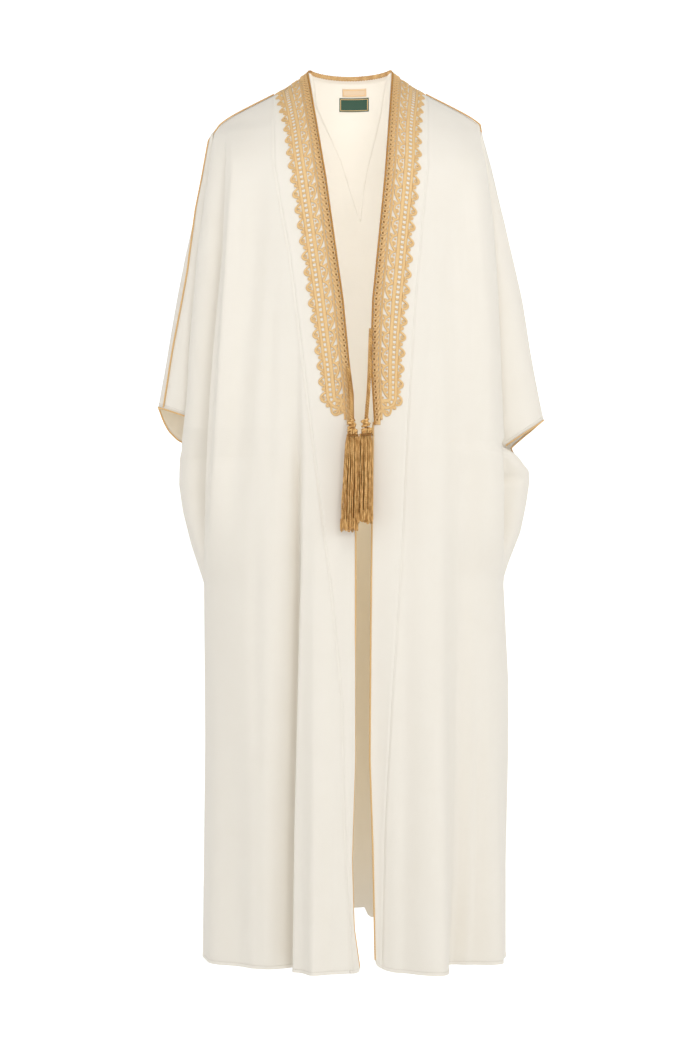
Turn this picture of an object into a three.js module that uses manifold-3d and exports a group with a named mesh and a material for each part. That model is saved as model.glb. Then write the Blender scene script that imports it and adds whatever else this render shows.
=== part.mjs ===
// A bisht: a full-length open cloak of cream wool with gold embroidery, braid, piping and tasselled cords.
// Millimetres, +Z up, the front faces -Y. The origin is the middle of the neck, between the neck points.
// "right" and "left" are the wearer's: right is -X.
import * as THREE from "three";
import { mergeVertices } from "three/addons/utils/BufferGeometryUtils.js";
import Module from "manifold-3d";

// ---- driving dimensions ----
const CLOTH = 1.6; // thickness of the wall
const SEAM_INSET = 0.25; // each piece stops this far from the line of its seam
const HEM_Z = -1456; // front hem
const BACK_HEM_LIFT = 54; // the middle of the back hem hangs this much higher
const BACK_HEM_STEP = { drop: 18, from: 20, to: 42 }; // and drops again under a fold on the wearer's left
const CHEST_END_Z = -590; // where the upper rows of the panels end
const UPPER_SHARE = 0.6; // share of the rows above it
const NECK_X = 68; // half the neck opening
const NECK_BACK_Y = 72; // how far the back neck lies behind the neck points
const NECK_POINT_Y = 22;
const NECK_DIP = 4; // how far the middle of the back neck hangs below the neck points
const SHOULDER_TIP_Y = 10;
const GORE_TOP_X = 126; // where the slanting seam meets the shoulder
const SHOULDER_TIP = { x: 214, z: -86 };
const SHOULDER_SLOPE = { power: 0.88, endPower: 8, drop: 0.08 }; // steeper beside the neck and at the tip
const REACH = { front: 250, back: 200, tip: 130 }; // how far the cloth rounds over below the shoulder seam
const TOP_BLEND = 8; // how soon a panel's lines leave the shoulder seam's spacing
const SECTION_POWER = 2.3; // how square the body's cross-section is
const CURL = { inward: 9, back: 7, height: 70 }; // the cloth turns under beside the sleeve
const SLEEVE_TUCK = 1.4; // a sleeve's edges lie this far inside the body's curls
const LAST_STRIP = 0.984; // share of the half width where the last strip before the side seam starts
const BAND_LANE = 0.8; // where the embroidery's edge lies across a gore, from its front edge to its seam

const PIPING_RADIUS = 1.5;
const PIPING_GAP = 0.4; // between the cuff's edge and its piping
const CUFF_PIPING_INSET = 0.6; // the piping stops this share of a lane before the sleeve's seams
const BRAID = { width: 9, depth: 4.5 };
const EMBROIDERY = { thickness: 1.3, lift: 0.5, scallop: 3 };
const CORD_DIAMETER = 5.5;

const COLOURS = {
  cloth: 0xf0eadd, gold: 0xd9b071, braid: 0xc9964f, tassel: 0xc48f3d, tan: 0xe3c9a0, green: 0x1f4a35,
};

// Outer edges of the body and the sleeve at each height. body: where the body folds back beside the sleeve,
// and the side seam below the cuff. front, back: how far those edges lie from the middle. sleeve: the arm's
// outline.
const OUTLINE = {
  right: [
    { z: -86, body: 214, front: -12, back: 28, sleeve: 217 },
    { z: -103, body: 224, front: -30, back: 42, sleeve: 231 },
    { z: -150, body: 231, front: -45, back: 52, sleeve: 241 },
    { z: -231, body: 241, front: -52, back: 58, sleeve: 257 },
    { z: -308, body: 250, front: -55, back: 60, sleeve: 273 },
    { z: -453, body: 263, front: -55, back: 58, sleeve: 300 },
    { z: -545, body: 269, front: -51, back: 51, sleeve: 315 },
    { z: -590, body: 274, front: -41, back: 42, sleeve: 323 },
    { z: -640, body: 281, front: 2, back: 2, sleeve: 322 },
    { z: -681, body: 282, front: 2, back: 2, sleeve: 322 },
    { z: -724, body: 276, front: 2, back: 2, sleeve: 322 },
    { z: -780, body: 262, front: 2, back: 2, sleeve: 322 },
    { z: -843, body: 241, front: 2, back: 2, sleeve: 322 },
    { z: -1100, body: 239, front: 2, back: 2, sleeve: 322 },
    { z: -1456, body: 243, front: 2, back: 2, sleeve: 322 },
  ],
  left: [
    { z: -86, body: 211, front: -12, back: 28, sleeve: 214 },
    { z: -103, body: 213, front: -30, back: 42, sleeve: 219 },
    { z: -156, body: 221, front: -45, back: 52, sleeve: 234 },
    { z: -247, body: 231, front: -52, back: 58, sleeve: 257 },
    { z: -374, body: 240, front: -55, back: 60, sleeve: 284 },
    { z: -450, body: 243, front: -58, back: 58, sleeve: 297 },
    { z: -590, body: 248, front: -55, back: 52, sleeve: 322 },
    { z: -604, body: 251, front: -46, back: 45, sleeve: 323 },
    { z: -618, body: 277, front: -32, back: 36, sleeve: 324 },
    { z: -659, body: 296, front: 6, back: 6, sleeve: 324 },
    { z: -680, body: 296, front: 6, back: 6, sleeve: 324 },
    { z: -713, body: 291, front: 6, back: 6, sleeve: 324 },
    { z: -760, body: 281, front: 4, back: 4, sleeve: 324 },
    { z: -805, body: 263, front: 2, back: 2, sleeve: 324 },
    { z: -836, body: 253, front: 2, back: 2, sleeve: 324 },
    { z: -1000, body: 261, front: 2, back: 2, sleeve: 324 },
    { z: -1120, body: 261, front: 2, back: 2, sleeve: 324 },
    { z: -1300, body: 257, front: 2, back: 2, sleeve: 324 },
    { z: -1456, body: 257, front: 2, back: 2, sleeve: 324 },
  ],
};

// Depth of the body before and behind the shoulder line.
const DEPTH = [
  { z: 0, chest: 136, back: 96 },
  { z: -150, chest: 142, back: 112 },
  { z: -260, chest: 146, back: 122 },
  { z: -560, chest: 151, back: 118 },
  { z: -800, chest: 153, back: 130 },
  { z: -1100, chest: 160, back: 150 },
  { z: -1456, chest: 168, back: 168 },
];

// Edge of each front, from the neck point to the hem, in x as it lies (the left front's edge is at +x).
const FRONT_EDGE = {
  right: [
    { z: 0, x: -70 }, { z: -90, x: -55 }, { z: -191, x: -38 }, { z: -389, x: -10 }, { z: -485, x: -1 },
    { z: -540, x: 6 }, { z: -763, x: 8 }, { z: -1119, x: 8 }, { z: -1276, x: 3 }, { z: -1384, x: 6 },
    { z: -1456, x: 16 },
  ],
  left: [
    { z: 0, x: 70 }, { z: -90, x: 63 }, { z: -191, x: 55 }, { z: -389, x: 35 }, { z: -485, x: 32 },
    { z: -580, x: 38 }, { z: -760, x: 36 }, { z: -1119, x: 33 }, { z: -1263, x: 38 }, { z: -1456, x: 42 },
  ],
};

// Slanting seam between the gore and the side of each front.
const GORE_SEAM = {
  right: [
    { z: 0, x: -128 }, { z: -171, x: -121 }, { z: -243, x: -109 }, { z: -316, x: -96 }, { z: -410, x: -84 },
    { z: -849, x: -29 }, { z: -1023, x: -12 }, { z: -1200, x: -9 }, { z: -1456, x: 4 },
  ],
  left: [
    { z: 0, x: 130 }, { z: -171, x: 124 }, { z: -277, x: 113 }, { z: -389, x: 103 }, { z: -480, x: 97 },
    { z: -580, x: 91 }, { z: -803, x: 81 }, { z: -1030, x: 66 }, { z: -1228, x: 56 }, { z: -1456, x: 52 },
  ],
};

// Outer edge of the embroidered bands. Their lower outer corner is rounded.
const BAND_EDGE = {
  right: [
    { z: 0, x: -122 }, { z: -158, x: -102 }, { z: -277, x: -83 }, { z: -389, x: -67 }, { z: -496, x: -52 },
    { z: -580, x: -44 },
  ],
  left: [
    { z: 0, x: 124 }, { z: -158, x: 117 }, { z: -277, x: 104 }, { z: -389, x: 94 }, { z: -443, x: 89 },
    { z: -513, x: 85 }, { z: -580, x: 82 },
  ],
};
const BAND_END = { z: -574, radius: 36 };

// Folds. Each runs down its path; depth is how far it sinks (a minus sign stands proud); inner and outer are
// its widths on the side of the middle and on the side of the arm, so a small one makes an overlapping edge.
const FRONT_FOLDS = {
  right: [
    {
      inner: 7, outer: 22,
      path: [
        { z: -110, x: 208, depth: 0 }, { z: -160, x: 207, depth: 12 }, { z: -308, x: 211, depth: 20 },
        { z: -524, x: 228, depth: 24 }, { z: -709, x: 238, depth: 26 }, { z: -840, x: 246, depth: 0 },
      ],
    },
    {
      inner: 22, outer: 8,
      path: [
        { z: -110, x: 190, depth: 0 }, { z: -200, x: 186, depth: -8 }, { z: -524, x: 205, depth: -14 },
        { z: -709, x: 218, depth: -10 }, { z: -840, x: 226, depth: 0 },
      ],
    },
    {
      inner: 20, outer: 26,
      path: [
        { z: -170, x: 145, depth: 0 }, { z: -330, x: 155, depth: 7 }, { z: -580, x: 180, depth: 9 },
        { z: -800, x: 190, depth: 0 },
      ],
    },
    {
      inner: 9, outer: 30,
      path: [
        { z: -420, x: 84, depth: 0 }, { z: -803, x: 86, depth: 12 }, { z: -1228, x: 97, depth: 26 },
        { z: -1460, x: 100, depth: 36 },
      ],
    },
    {
      inner: 34, outer: 16,
      path: [
        { z: -600, x: 52, depth: 0 }, { z: -1000, x: 54, depth: -10 }, { z: -1460, x: 54, depth: -26 },
      ],
    },
    {
      inner: 26, outer: 26,
      path: [
        { z: -900, x: 190, depth: 0 }, { z: -1200, x: 188, depth: 8 },
        { z: -1460, x: 185, depth: 12 },
      ],
    },
    {
      inner: 30, outer: 22,
      path: [
        { z: -850, x: 222, depth: 0 }, { z: -1200, x: 222, depth: -5 },
        { z: -1460, x: 224, depth: -10 },
      ],
    },
  ],
  left: [
    {
      inner: 5, outer: 24,
      path: [
        { z: -590, x: 250, depth: 0 }, { z: -618, x: 252, depth: 18 }, { z: -659, x: 256, depth: 28 },
        { z: -760, x: 257, depth: 28 }, { z: -828, x: 256, depth: 0 },
      ],
    },
    {
      inner: 24, outer: 20,
      path: [
        { z: -110, x: 196, depth: 0 }, { z: -250, x: 206, depth: -8 }, { z: -600, x: 224, depth: -10 },
        { z: -830, x: 236, depth: -4 }, { z: -1000, x: 236, depth: 0 },
      ],
    },
    {
      inner: 22, outer: 26,
      path: [
        { z: -200, x: 160, depth: 0 }, { z: -330, x: 166, depth: 7 }, { z: -650, x: 182, depth: 9 },
        { z: -1000, x: 182, depth: 16 }, { z: -1300, x: 182, depth: 24 }, { z: -1460, x: 182, depth: 40 },
      ],
    },
    {
      inner: 40, outer: 26,
      path: [
        { z: -480, x: 140, depth: 0 }, { z: -800, x: 136, depth: -12 }, { z: -1200, x: 134, depth: -26 },
        { z: -1460, x: 130, depth: -44 },
      ],
    },
    {
      inner: 26, outer: 16,
      path: [
        { z: -900, x: 238, depth: 0 }, { z: -1200, x: 234, depth: -6 },
        { z: -1460, x: 232, depth: -18 },
      ],
    },
    {
      inner: 14, outer: 26,
      path: [{ z: -640, x: 36, depth: 0 }, { z: -1000, x: 38, depth: 10 }, { z: -1460, x: 42, depth: 14 }],
    },
  ],
};

// The back hangs in soft folds below the shoulder blades.
const BACK_FOLDS = [
  {
    inner: 34, outer: 26,
    path: [{ z: -330, x: 10, depth: 0 }, { z: -800, x: 8, depth: 10 }, { z: -1460, x: 6, depth: 18 }],
  },
  {
    inner: 34, outer: 30,
    path: [{ z: -420, x: 76, depth: 0 }, { z: -900, x: 78, depth: -12 }, { z: -1460, x: 80, depth: -24 }],
  },
  {
    inner: 30, outer: 34,
    path: [
      { z: -420, x: -70, depth: 0 }, { z: -900, x: -74, depth: -10 },
      { z: -1460, x: -80, depth: -22 },
    ],
  },
  {
    inner: 26, outer: 30,
    path: [{ z: -260, x: 142, depth: 0 }, { z: -700, x: 148, depth: 12 }, { z: -1460, x: 152, depth: 24 }],
  },
  {
    inner: 30, outer: 26,
    path: [
      { z: -260, x: -138, depth: 0 }, { z: -700, x: -146, depth: 14 },
      { z: -1460, x: -150, depth: 26 },
    ],
  },
  {
    inner: 24, outer: 16,
    path: [
      { z: -160, x: 196, depth: 0 }, { z: -500, x: 210, depth: -10 },
      { z: -1460, x: 214, depth: -12 },
    ],
  },
  {
    inner: 16, outer: 24,
    path: [
      { z: -160, x: -196, depth: 0 }, { z: -500, x: -212, depth: -10 },
      { z: -1460, x: -212, depth: -12 },
    ],
  },
];

// Lower edge of each sleeve: at the front, at the outside and at the back.
const CUFF_Z = {
  right: { front: -574, outer: -560, back: -603 },
  left: { front: -610, outer: -577, back: -626 },
};
const CUFF_DROP = 1.6; // how soon the cuff drops behind the arm
// Where the top-arm seam lies round the sleeve, from 0 at the front to 1 at the back.
const ARM_SEAM_LANE = { right: { shoulder: 0.5, cuff: 0.27 }, left: { shoulder: 0.5, cuff: 0.6 } };
const ARM_SEAM_EASE = 0.5; // it leaves the top of the arm soon below the shoulder

// Tie cords: from the edge of each front to the knot; then the tassel below its bar knot.
const CORDS = {
  right: [
    [-3, -158.1, -497], [-1.5, -160.2, -512], [0, -163, -530], [1.2, -165, -550], [2, -166.5, -568],
    [2.5, -167.5, -581],
  ],
  left: [
    [33, -155.5, -436], [31.5, -157.8, -455], [30, -160.8, -480], [28.2, -164, -510], [26.5, -166, -540],
    [25.2, -167, -562], [24.6, -167.5, -579],
  ],
};
const KNOTS = {
  right: {
    x: 2.5, barX: 4, barZ: -599.5, barWidth: 18,
    tasselX: 4.5, endX: -2.2, tasselTop: -605.3, tasselEnd: -757,
  },
  left: {
    x: 24.6, barX: 27, barZ: -598.5, barWidth: 20,
    tasselX: 27.5, endX: 27.6, tasselTop: -604.3, tasselEnd: -745,
  },
};
const HANG_Y = -171; // the tassels hang just in front of the fronts
const LABEL_LIFT = 0.6;
const LABEL_THICKNESS = 0.7;
const LABELS = {
  label_upper: { x: [-13, 28], down: [13, 26], colour: COLOURS.tan },
  label_lower: { x: [-18, 32], down: [28, 50], colour: COLOURS.green },
};

// ---- numbers ----
const { lerp, clamp, smoothstep } = THREE.MathUtils;
const SIDES = ["right", "left"];
const signOf = (side) => (side === "right" ? -1 : 1);

// Reads a table whose rows go down in z.
function atHeight(rows, column, z) {
  if (z >= rows[0].z) return rows[0][column];
  for (let i = 1; i < rows.length; i += 1) {
    const [above, below] = [rows[i - 1], rows[i]];
    if (z >= below.z) return lerp(below[column], above[column], (z - below.z) / (above.z - below.z));
  }
  return rows.at(-1)[column];
}

// How the cloth rounds over from the shoulder seam: 0 there, 1 once it hangs straight.
function roundOver(fall, reach) {
  const t = clamp(fall / reach, 0, 1);
  return (1 - (1 - t) ** 2) ** 0.72;
}

function foldDepth(folds, x, z) {
  let depth = 0;
  for (const { inner, outer, path } of folds) {
    if (z > path[0].z || z < path.at(-1).z) continue;
    const off = x - atHeight(path, "x", z);
    const width = off * Math.sign(x || 1) < 0 ? inner : outer;
    depth += atHeight(path, "depth", z) * Math.exp(-((off / width) ** 2));
  }
  return depth;
}

// ---- the shape of the garment ----
function shoulderZ(x) {
  const t = (Math.abs(x) - NECK_X) / (SHOULDER_TIP.x - NECK_X);
  if (t <= 0) return -NECK_DIP * (1 - (x / NECK_X) ** 2);
  const { power, endPower, drop } = SHOULDER_SLOPE;
  return SHOULDER_TIP.z * lerp(t ** power, t ** endPower, drop);
}

function shoulderY(x) {
  const t = clamp((Math.abs(x) - NECK_X) / (SHOULDER_TIP.x - NECK_X), 0, 1);
  return lerp(NECK_POINT_Y, SHOULDER_TIP_Y, t);
}

// The neck line, round the back of the neck between the two neck points.
function neckY(x) {
  return NECK_POINT_Y + (NECK_BACK_Y - NECK_POINT_Y) * Math.sqrt(Math.max(0, 1 - (x / NECK_X) ** 2));
}

// Cross-section at height z: y of the cloth at x, for the front (-1) or the back (+1).
function sectionY(side, x, z, facing) {
  const edge = atHeight(OUTLINE[side], "body", z);
  const edgeY = atHeight(OUTLINE[side], facing < 0 ? "front" : "back", z);
  const depth = atHeight(DEPTH, facing < 0 ? "chest" : "back", z);
  const round = Math.sqrt(Math.max(0, 1 - Math.min(1, Math.abs(x) / edge) ** SECTION_POWER));
  return edgeY + (facing * depth - edgeY) * round;
}

// Moves a point of the section inwards by the folds' depth.
function sink(side, point, depth, facing) {
  const edge = atHeight(OUTLINE[side], "body", point.z);
  const reach = atHeight(DEPTH, facing < 0 ? "chest" : "back", point.z);
  const out = new THREE.Vector2(point.x / edge ** 2, (facing * Math.abs(point.y)) / reach ** 2).normalize();
  point.x -= out.x * depth;
  point.y -= out.y * depth;
  return point;
}

// How far the cloth turns under beside the sleeve at height z: not at the shoulder tip or below the cuff.
function curlAmount(side, z) {
  const outline = OUTLINE[side];
  const apart = Math.abs(atHeight(outline, "front", z) - atHeight(outline, "back", z));
  return smoothstep(SHOULDER_TIP.z - z, 8, CURL.height) * smoothstep(apart, 4, 70);
}

// The turn goes from 0 at the body's edge to 1 at the seam with the sleeve.
function curlAt(side, z, turn, facing) {
  const amount = curlAmount(side, z);
  return {
    x: -signOf(side) * CURL.inward * amount * (1 - Math.cos((turn * Math.PI) / 2)),
    y: -facing * CURL.back * amount * Math.sin((turn * Math.PI) / 2),
  };
}

// Share of the width at which the turn starts: at the edge where the cloth turns under, else just before it.
function widthShare(side, z, turn) {
  return lerp(lerp(LAST_STRIP, 1, curlAmount(side, z)), 1, turn);
}

// Across a gore, from the front edge past the edge of the embroidery to the slanting seam.
function goreX(side, lane, z) {
  const edge = atHeight(FRONT_EDGE[side], "x", z);
  const seam = atHeight(GORE_SEAM[side], "x", z);
  const below = smoothstep(-z, -BAND_END.z, -BAND_END.z + 80);
  const band = lerp(atHeight(BAND_EDGE[side], "x", z), lerp(edge, seam, BAND_LANE), below);
  if (lane < BAND_LANE) return lerp(edge, band, lane / BAND_LANE);
  return lerp(band, seam, (lane - BAND_LANE) / (1 - BAND_LANE));
}

// Height at a share of the way down a panel. Its upper part ends at the same height all round.
function heightAt(topZ, hemZ, down) {
  return down < UPPER_SHARE
    ? lerp(topZ, CHEST_END_Z, down / UPPER_SHARE)
    : lerp(CHEST_END_Z, hemZ, (down - UPPER_SHARE) / (1 - UPPER_SHARE));
}

// A point of a front. lane: 0 on the front edge, 1 on the slanting seam, 2 on the body's edge, 2 to 3 in the
// curl.
function frontPoint(side, lane, down) {
  const sign = signOf(side);
  const flatLane = Math.min(lane, 2);
  const topX = flatLane <= 1
    ? lerp(NECK_X, GORE_TOP_X, flatLane)
    : lerp(GORE_TOP_X, SHOULDER_TIP.x, flatLane - 1);
  const topZ = shoulderZ(topX);
  const z = heightAt(topZ, HEM_Z, down);
  const turn = Math.max(lane - 2, 0);
  const acrossAt = (height) => {
    if (flatLane <= 1) return goreX(side, flatLane, height);
    const edge = sign * atHeight(OUTLINE[side], "body", height) * widthShare(side, height, turn);
    return lerp(atHeight(GORE_SEAM[side], "x", height), edge, flatLane - 1);
  };
  const x = acrossAt(z) + (sign * topX - acrossAt(topZ)) * (1 - down) ** TOP_BLEND;
  const ease = roundOver(topZ - z, lerp(REACH.front, REACH.tip, flatLane / 2));
  const y = lerp(shoulderY(topX), sectionY(side, x, z, -1), ease);
  const point = new THREE.Vector3(x, y, z);
  const fade = 1 - smoothstep(flatLane, 1.9, 2) * (1 - curlAmount(side, z)); // no fold opens the side seam
  sink(side, point, foldDepth(FRONT_FOLDS[side], Math.abs(x), z) * ease * fade, -1);
  if (turn > 0) {
    const curl = curlAt(side, z, turn, -1);
    point.x += curl.x;
    point.y += curl.y;
  }
  return point;
}

// A point of the back. lane is 0 in the middle, 1 at a neck point, 2 under the gore seam, 3 at the body's
// edge and 3 to 4 in the curl; on the wearer's right it is negative.
function backPoint(lane, down) {
  const side = lane < 0 ? "right" : "left";
  const sign = signOf(side);
  const size = Math.min(Math.abs(lane), 3);
  const turn = Math.max(Math.abs(lane) - 3, 0);
  let topX = NECK_X * size;
  if (size > 1) topX = lerp(NECK_X, GORE_TOP_X, size - 1);
  if (size > 2) topX = lerp(GORE_TOP_X, SHOULDER_TIP.x, size - 2);
  const topY = size < 1 ? neckY(topX) : shoulderY(topX);
  const topZ = shoulderZ(topX);
  const share = topX / SHOULDER_TIP.x;
  const step = side === "left"
    ? BACK_HEM_STEP.drop * smoothstep(topX, BACK_HEM_STEP.from, BACK_HEM_STEP.to)
    : 0;
  const hemZ = HEM_Z + (BACK_HEM_LIFT - step) * (1 - smoothstep(share, 0.35, 1));
  const z = heightAt(topZ, hemZ, down);
  const widthAt = (height) => {
    const edge = atHeight(OUTLINE[side], "body", height);
    return share * edge * widthShare(side, height, turn) ** share;
  };
  const x = sign * (widthAt(z) + (topX - widthAt(topZ)) * (1 - down) ** TOP_BLEND);
  const ease = roundOver(topZ - z, lerp(REACH.back, REACH.tip, size / 3));
  const y = lerp(topY, sectionY(side, x, z, 1), ease);
  const point = new THREE.Vector3(x, y, z);
  const fade = 1 - smoothstep(size, 2.9, 3) * (1 - curlAmount(side, z));
  sink(side, point, foldDepth(BACK_FOLDS, x, z) * ease * fade, 1);
  if (turn > 0) {
    const curl = curlAt(side, z, turn, 1);
    point.x += curl.x;
    point.y += curl.y;
  }
  return point;
}

// A point of a sleeve. lane: 0 at the front seam, 0.5 on the outside, 1 at the back seam.
function sleevePoint(side, lane, down) {
  const sign = signOf(side);
  const cuff = CUFF_Z[side];
  const behind = 1 - (1 - clamp(2 * lane - 1, 0, 1)) ** CUFF_DROP;
  const cuffZ = lane < 0.5 ? lerp(cuff.front, cuff.outer, 2 * lane) : lerp(cuff.outer, cuff.back, behind);
  const z = lerp(SHOULDER_TIP.z - 18, cuffZ, down);
  const outline = OUTLINE[side];
  const ease = roundOver(SHOULDER_TIP.z - z, REACH.tip);
  const edgeOf = (facing) => {
    const curl = curlAt(side, z, 1, facing);
    const edgeY = lerp(SHOULDER_TIP_Y, atHeight(outline, facing < 0 ? "front" : "back", z), ease);
    const outside = sign * 2 * CLOTH * (1 - curlAmount(side, z));
    const edgeX = sign * atHeight(outline, "body", z);
    return { x: edgeX + curl.x + outside, y: edgeY + curl.y - facing * SLEEVE_TUCK };
  };
  const [front, back] = [edgeOf(-1), edgeOf(1)];
  const turn = (lane - 0.5) * Math.PI;
  const inner = lerp(front.x, back.x, lane);
  const x = inner + (sign * atHeight(outline, "sleeve", z) - inner) * Math.cos(turn) ** 0.8;
  const y = lerp(front.y, back.y, 0.5 + 0.5 * Math.sin(turn));
  return new THREE.Vector3(x, y, z);
}

// ---- grids and walls ----
function makeGrid(lanes, downs, pointAt) {
  return downs.map((down) => lanes.map((lane) => pointAt(lane, down)));
}

function gridNormals(grid, outward) {
  const last = { row: grid.length - 1, column: grid[0].length - 1 };
  return grid.map((row, i) =>
    row.map((_, j) => {
      const across = new THREE.Vector3()
        .subVectors(row[Math.min(j + 1, last.column)], row[Math.max(j - 1, 0)]);
      const along = new THREE.Vector3()
        .subVectors(grid[Math.min(i + 1, last.row)][j], grid[Math.max(i - 1, 0)][j]);
      return across.cross(along).normalize().multiplyScalar(outward);
    }),
  );
}

// Pulls the named edges of a grid back from their seams.
function insetEdges(grid, edges) {
  const pull = (point, towards) => {
    point.addScaledVector(new THREE.Vector3().subVectors(towards, point).normalize(), SEAM_INSET);
  };
  if (edges.includes("top")) grid[0].forEach((point, j) => pull(point, grid[1][j]));
  for (const row of grid) {
    if (edges.includes("start")) pull(row[0], row[1]);
    if (edges.includes("end")) pull(row.at(-1), row.at(-2));
  }
}

// The two lengths of a panel that meet at a row, each drawn back a little from it.
function lengthsOf(grid, row) {
  const meeting = (beyond) => grid[row].map((point, j) => {
    const inward = new THREE.Vector3().subVectors(grid[beyond][j], point).normalize();
    return point.clone().addScaledVector(inward, SEAM_INSET);
  });
  return [
    [...grid.slice(0, row), meeting(row - 1)],
    [meeting(row + 1), ...grid.slice(row + 1)],
  ];
}

// Turns the wall square to its seams: straight down at the shoulder, and level across the named side edges.
function squareToSeams(grid, normals, edges) {
  for (const normal of normals[0]) normal.set(0, 0, 1);
  grid.forEach((row, i) => {
    if (i === 0) return;
    for (const edge of edges) {
      const j = edge === "start" ? 0 : row.length - 1;
      const side = row[j].x < 0 ? "right" : "left";
      normals[i][j].y *= curlAmount(side, row[j].z);
      normals[i][j].normalize();
    }
  });
}

// A closed body between two grids of the same size.
function bodyBetween(outerGrid, innerGrid) {
  const [rows, columns] = [outerGrid.length, outerGrid[0].length];
  const positions = [...outerGrid.flat(), ...innerGrid.flat()].flatMap((p) => [p.x, p.y, p.z]);
  const outer = (i, j) => i * columns + j;
  const inner = (i, j) => rows * columns + i * columns + j;
  const index = [];
  const quad = (a, b, c, d) => index.push(a, b, c, a, c, d);
  for (let i = 0; i < rows - 1; i += 1) {
    for (let j = 0; j < columns - 1; j += 1) {
      quad(outer(i, j), outer(i, j + 1), outer(i + 1, j + 1), outer(i + 1, j));
      quad(inner(i, j), inner(i + 1, j), inner(i + 1, j + 1), inner(i, j + 1));
    }
    quad(outer(i, 0), outer(i + 1, 0), inner(i + 1, 0), inner(i, 0));
    quad(outer(i, columns - 1), inner(i, columns - 1), inner(i + 1, columns - 1), outer(i + 1, columns - 1));
  }
  for (let j = 0; j < columns - 1; j += 1) {
    quad(outer(0, j), inner(0, j), inner(0, j + 1), outer(0, j + 1));
    quad(outer(rows - 1, j), outer(rows - 1, j + 1), inner(rows - 1, j + 1), inner(rows - 1, j));
  }
  return facingOut(geometryOf(positions, index));
}

function geometryOf(positions, index) {
  const geometry = new THREE.BufferGeometry();
  geometry.setAttribute("position", new THREE.Float32BufferAttribute(positions, 3));
  geometry.setIndex(index);
  return geometry;
}

function facingOut(geometry) {
  const [position, index] = [geometry.getAttribute("position"), geometry.getIndex()];
  const corners = [0, 1, 2].map(() => new THREE.Vector3());
  let volume = 0;
  for (let i = 0; i < index.count; i += 3) {
    corners.forEach((corner, k) => corner.fromBufferAttribute(position, index.getX(i + k)));
    volume += corners[0].dot(corners[1].cross(corners[2]));
  }
  if (volume < 0) geometry.setIndex([...index.array].reverse());
  return geometry;
}

const shifted = (grid, normals, distance) =>
  grid.map((row, i) => row.map((point, j) => point.clone().addScaledVector(normals[i][j], distance)));

function clothWall(grid, normals) {
  return bodyBetween(grid, shifted(grid, normals, -CLOTH));
}

// A point between the points of a grid, so that what lies on a panel follows its faces.
function onGrid(grid, i, j) {
  const [i0, j0] = [Math.min(Math.floor(i), grid.length - 2), Math.min(Math.floor(j), grid[0].length - 2)];
  const upper = grid[i0][j0].clone().lerp(grid[i0][j0 + 1], j - j0);
  const lower = grid[i0 + 1][j0].clone().lerp(grid[i0 + 1][j0 + 1], j - j0);
  return upper.lerp(lower, i - i0);
}

// A trim with a round or flat section, swept along a line of points; facing[i] is the side it looks to.
function sweptTrim(line, facing, width, depth, sides) {
  const grid = line.map((point, i) => {
    const along = new THREE.Vector3()
      .subVectors(line[Math.min(i + 1, line.length - 1)], line[Math.max(i - 1, 0)])
      .normalize();
    const out = facing[i].clone().addScaledVector(along, -facing[i].dot(along)).normalize();
    const across = new THREE.Vector3().crossVectors(along, out);
    return Array.from({ length: sides }, (_, k) => {
      const angle = ((k + 0.5) / sides) * 2 * Math.PI;
      return point.clone()
        .addScaledVector(across, (Math.cos(angle) * width) / 2)
        .addScaledVector(out, (Math.sin(angle) * depth) / 2);
    });
  });
  return facingOut(tubeBody(grid));
}

// A closed body round a list of rings, with a fan at each end.
function tubeBody(rings) {
  const sides = rings[0].length;
  const middleOf = (ring) => ring.reduce((sum, p) => sum.add(p), new THREE.Vector3()).divideScalar(sides);
  const points = [...rings.flat(), middleOf(rings[0]), middleOf(rings.at(-1))];
  const index = [];
  const [start, end] = [points.length - 2, points.length - 1];
  const lastRing = (rings.length - 1) * sides;
  for (let k = 0; k < sides; k += 1) {
    const next = (k + 1) % sides;
    for (let i = 0; i < rings.length - 1; i += 1) {
      const [a, b] = [i * sides + k, i * sides + next];
      index.push(a, b, b + sides, a, b + sides, a + sides);
    }
    index.push(start, next, k, end, lastRing + k, lastRing + next);
  }
  return geometryOf(points.flatMap((p) => [p.x, p.y, p.z]), index);
}

// ---- joining ----
const wasm = await Module();
wasm.setup();

function solidOf(geometry) {
  const bare = geometry.clone();
  for (const name of Object.keys(bare.attributes)) if (name !== "position") bare.deleteAttribute(name);
  const merged = mergeVertices(bare, 1e-4);
  return new wasm.Manifold(new wasm.Mesh({
    numProp: 3,
    vertProperties: new Float32Array(merged.getAttribute("position").array),
    triVerts: new Uint32Array(merged.getIndex().array),
  }));
}

function joined(geometries) {
  const solid = geometries.map(solidOf).reduce((sum, next) => sum.add(next));
  const mesh = solid.getMesh();
  return geometryOf([...mesh.vertProperties], [...mesh.triVerts]);
}

// ---- the pieces ----
const garment = new THREE.Group();

function addPiece(name, geometry, colour, metalness = 0) {
  const roughness = 0.8 - 0.3 * metalness;
  const material = new THREE.MeshStandardMaterial({ color: colour, roughness, metalness });
  const mesh = new THREE.Mesh(geometry, material);
  mesh.name = name;
  garment.add(mesh);
}

function steps(count, from = 0, to = 1) {
  return Array.from({ length: count + 1 }, (_, i) => lerp(from, to, i / count));
}

// Lanes that crowd together towards the side.
function sideSteps(count, from) {
  return steps(count).map((t) => from + Math.sin((t * Math.PI) / 2) * 0.6 + t * 0.4);
}

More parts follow.
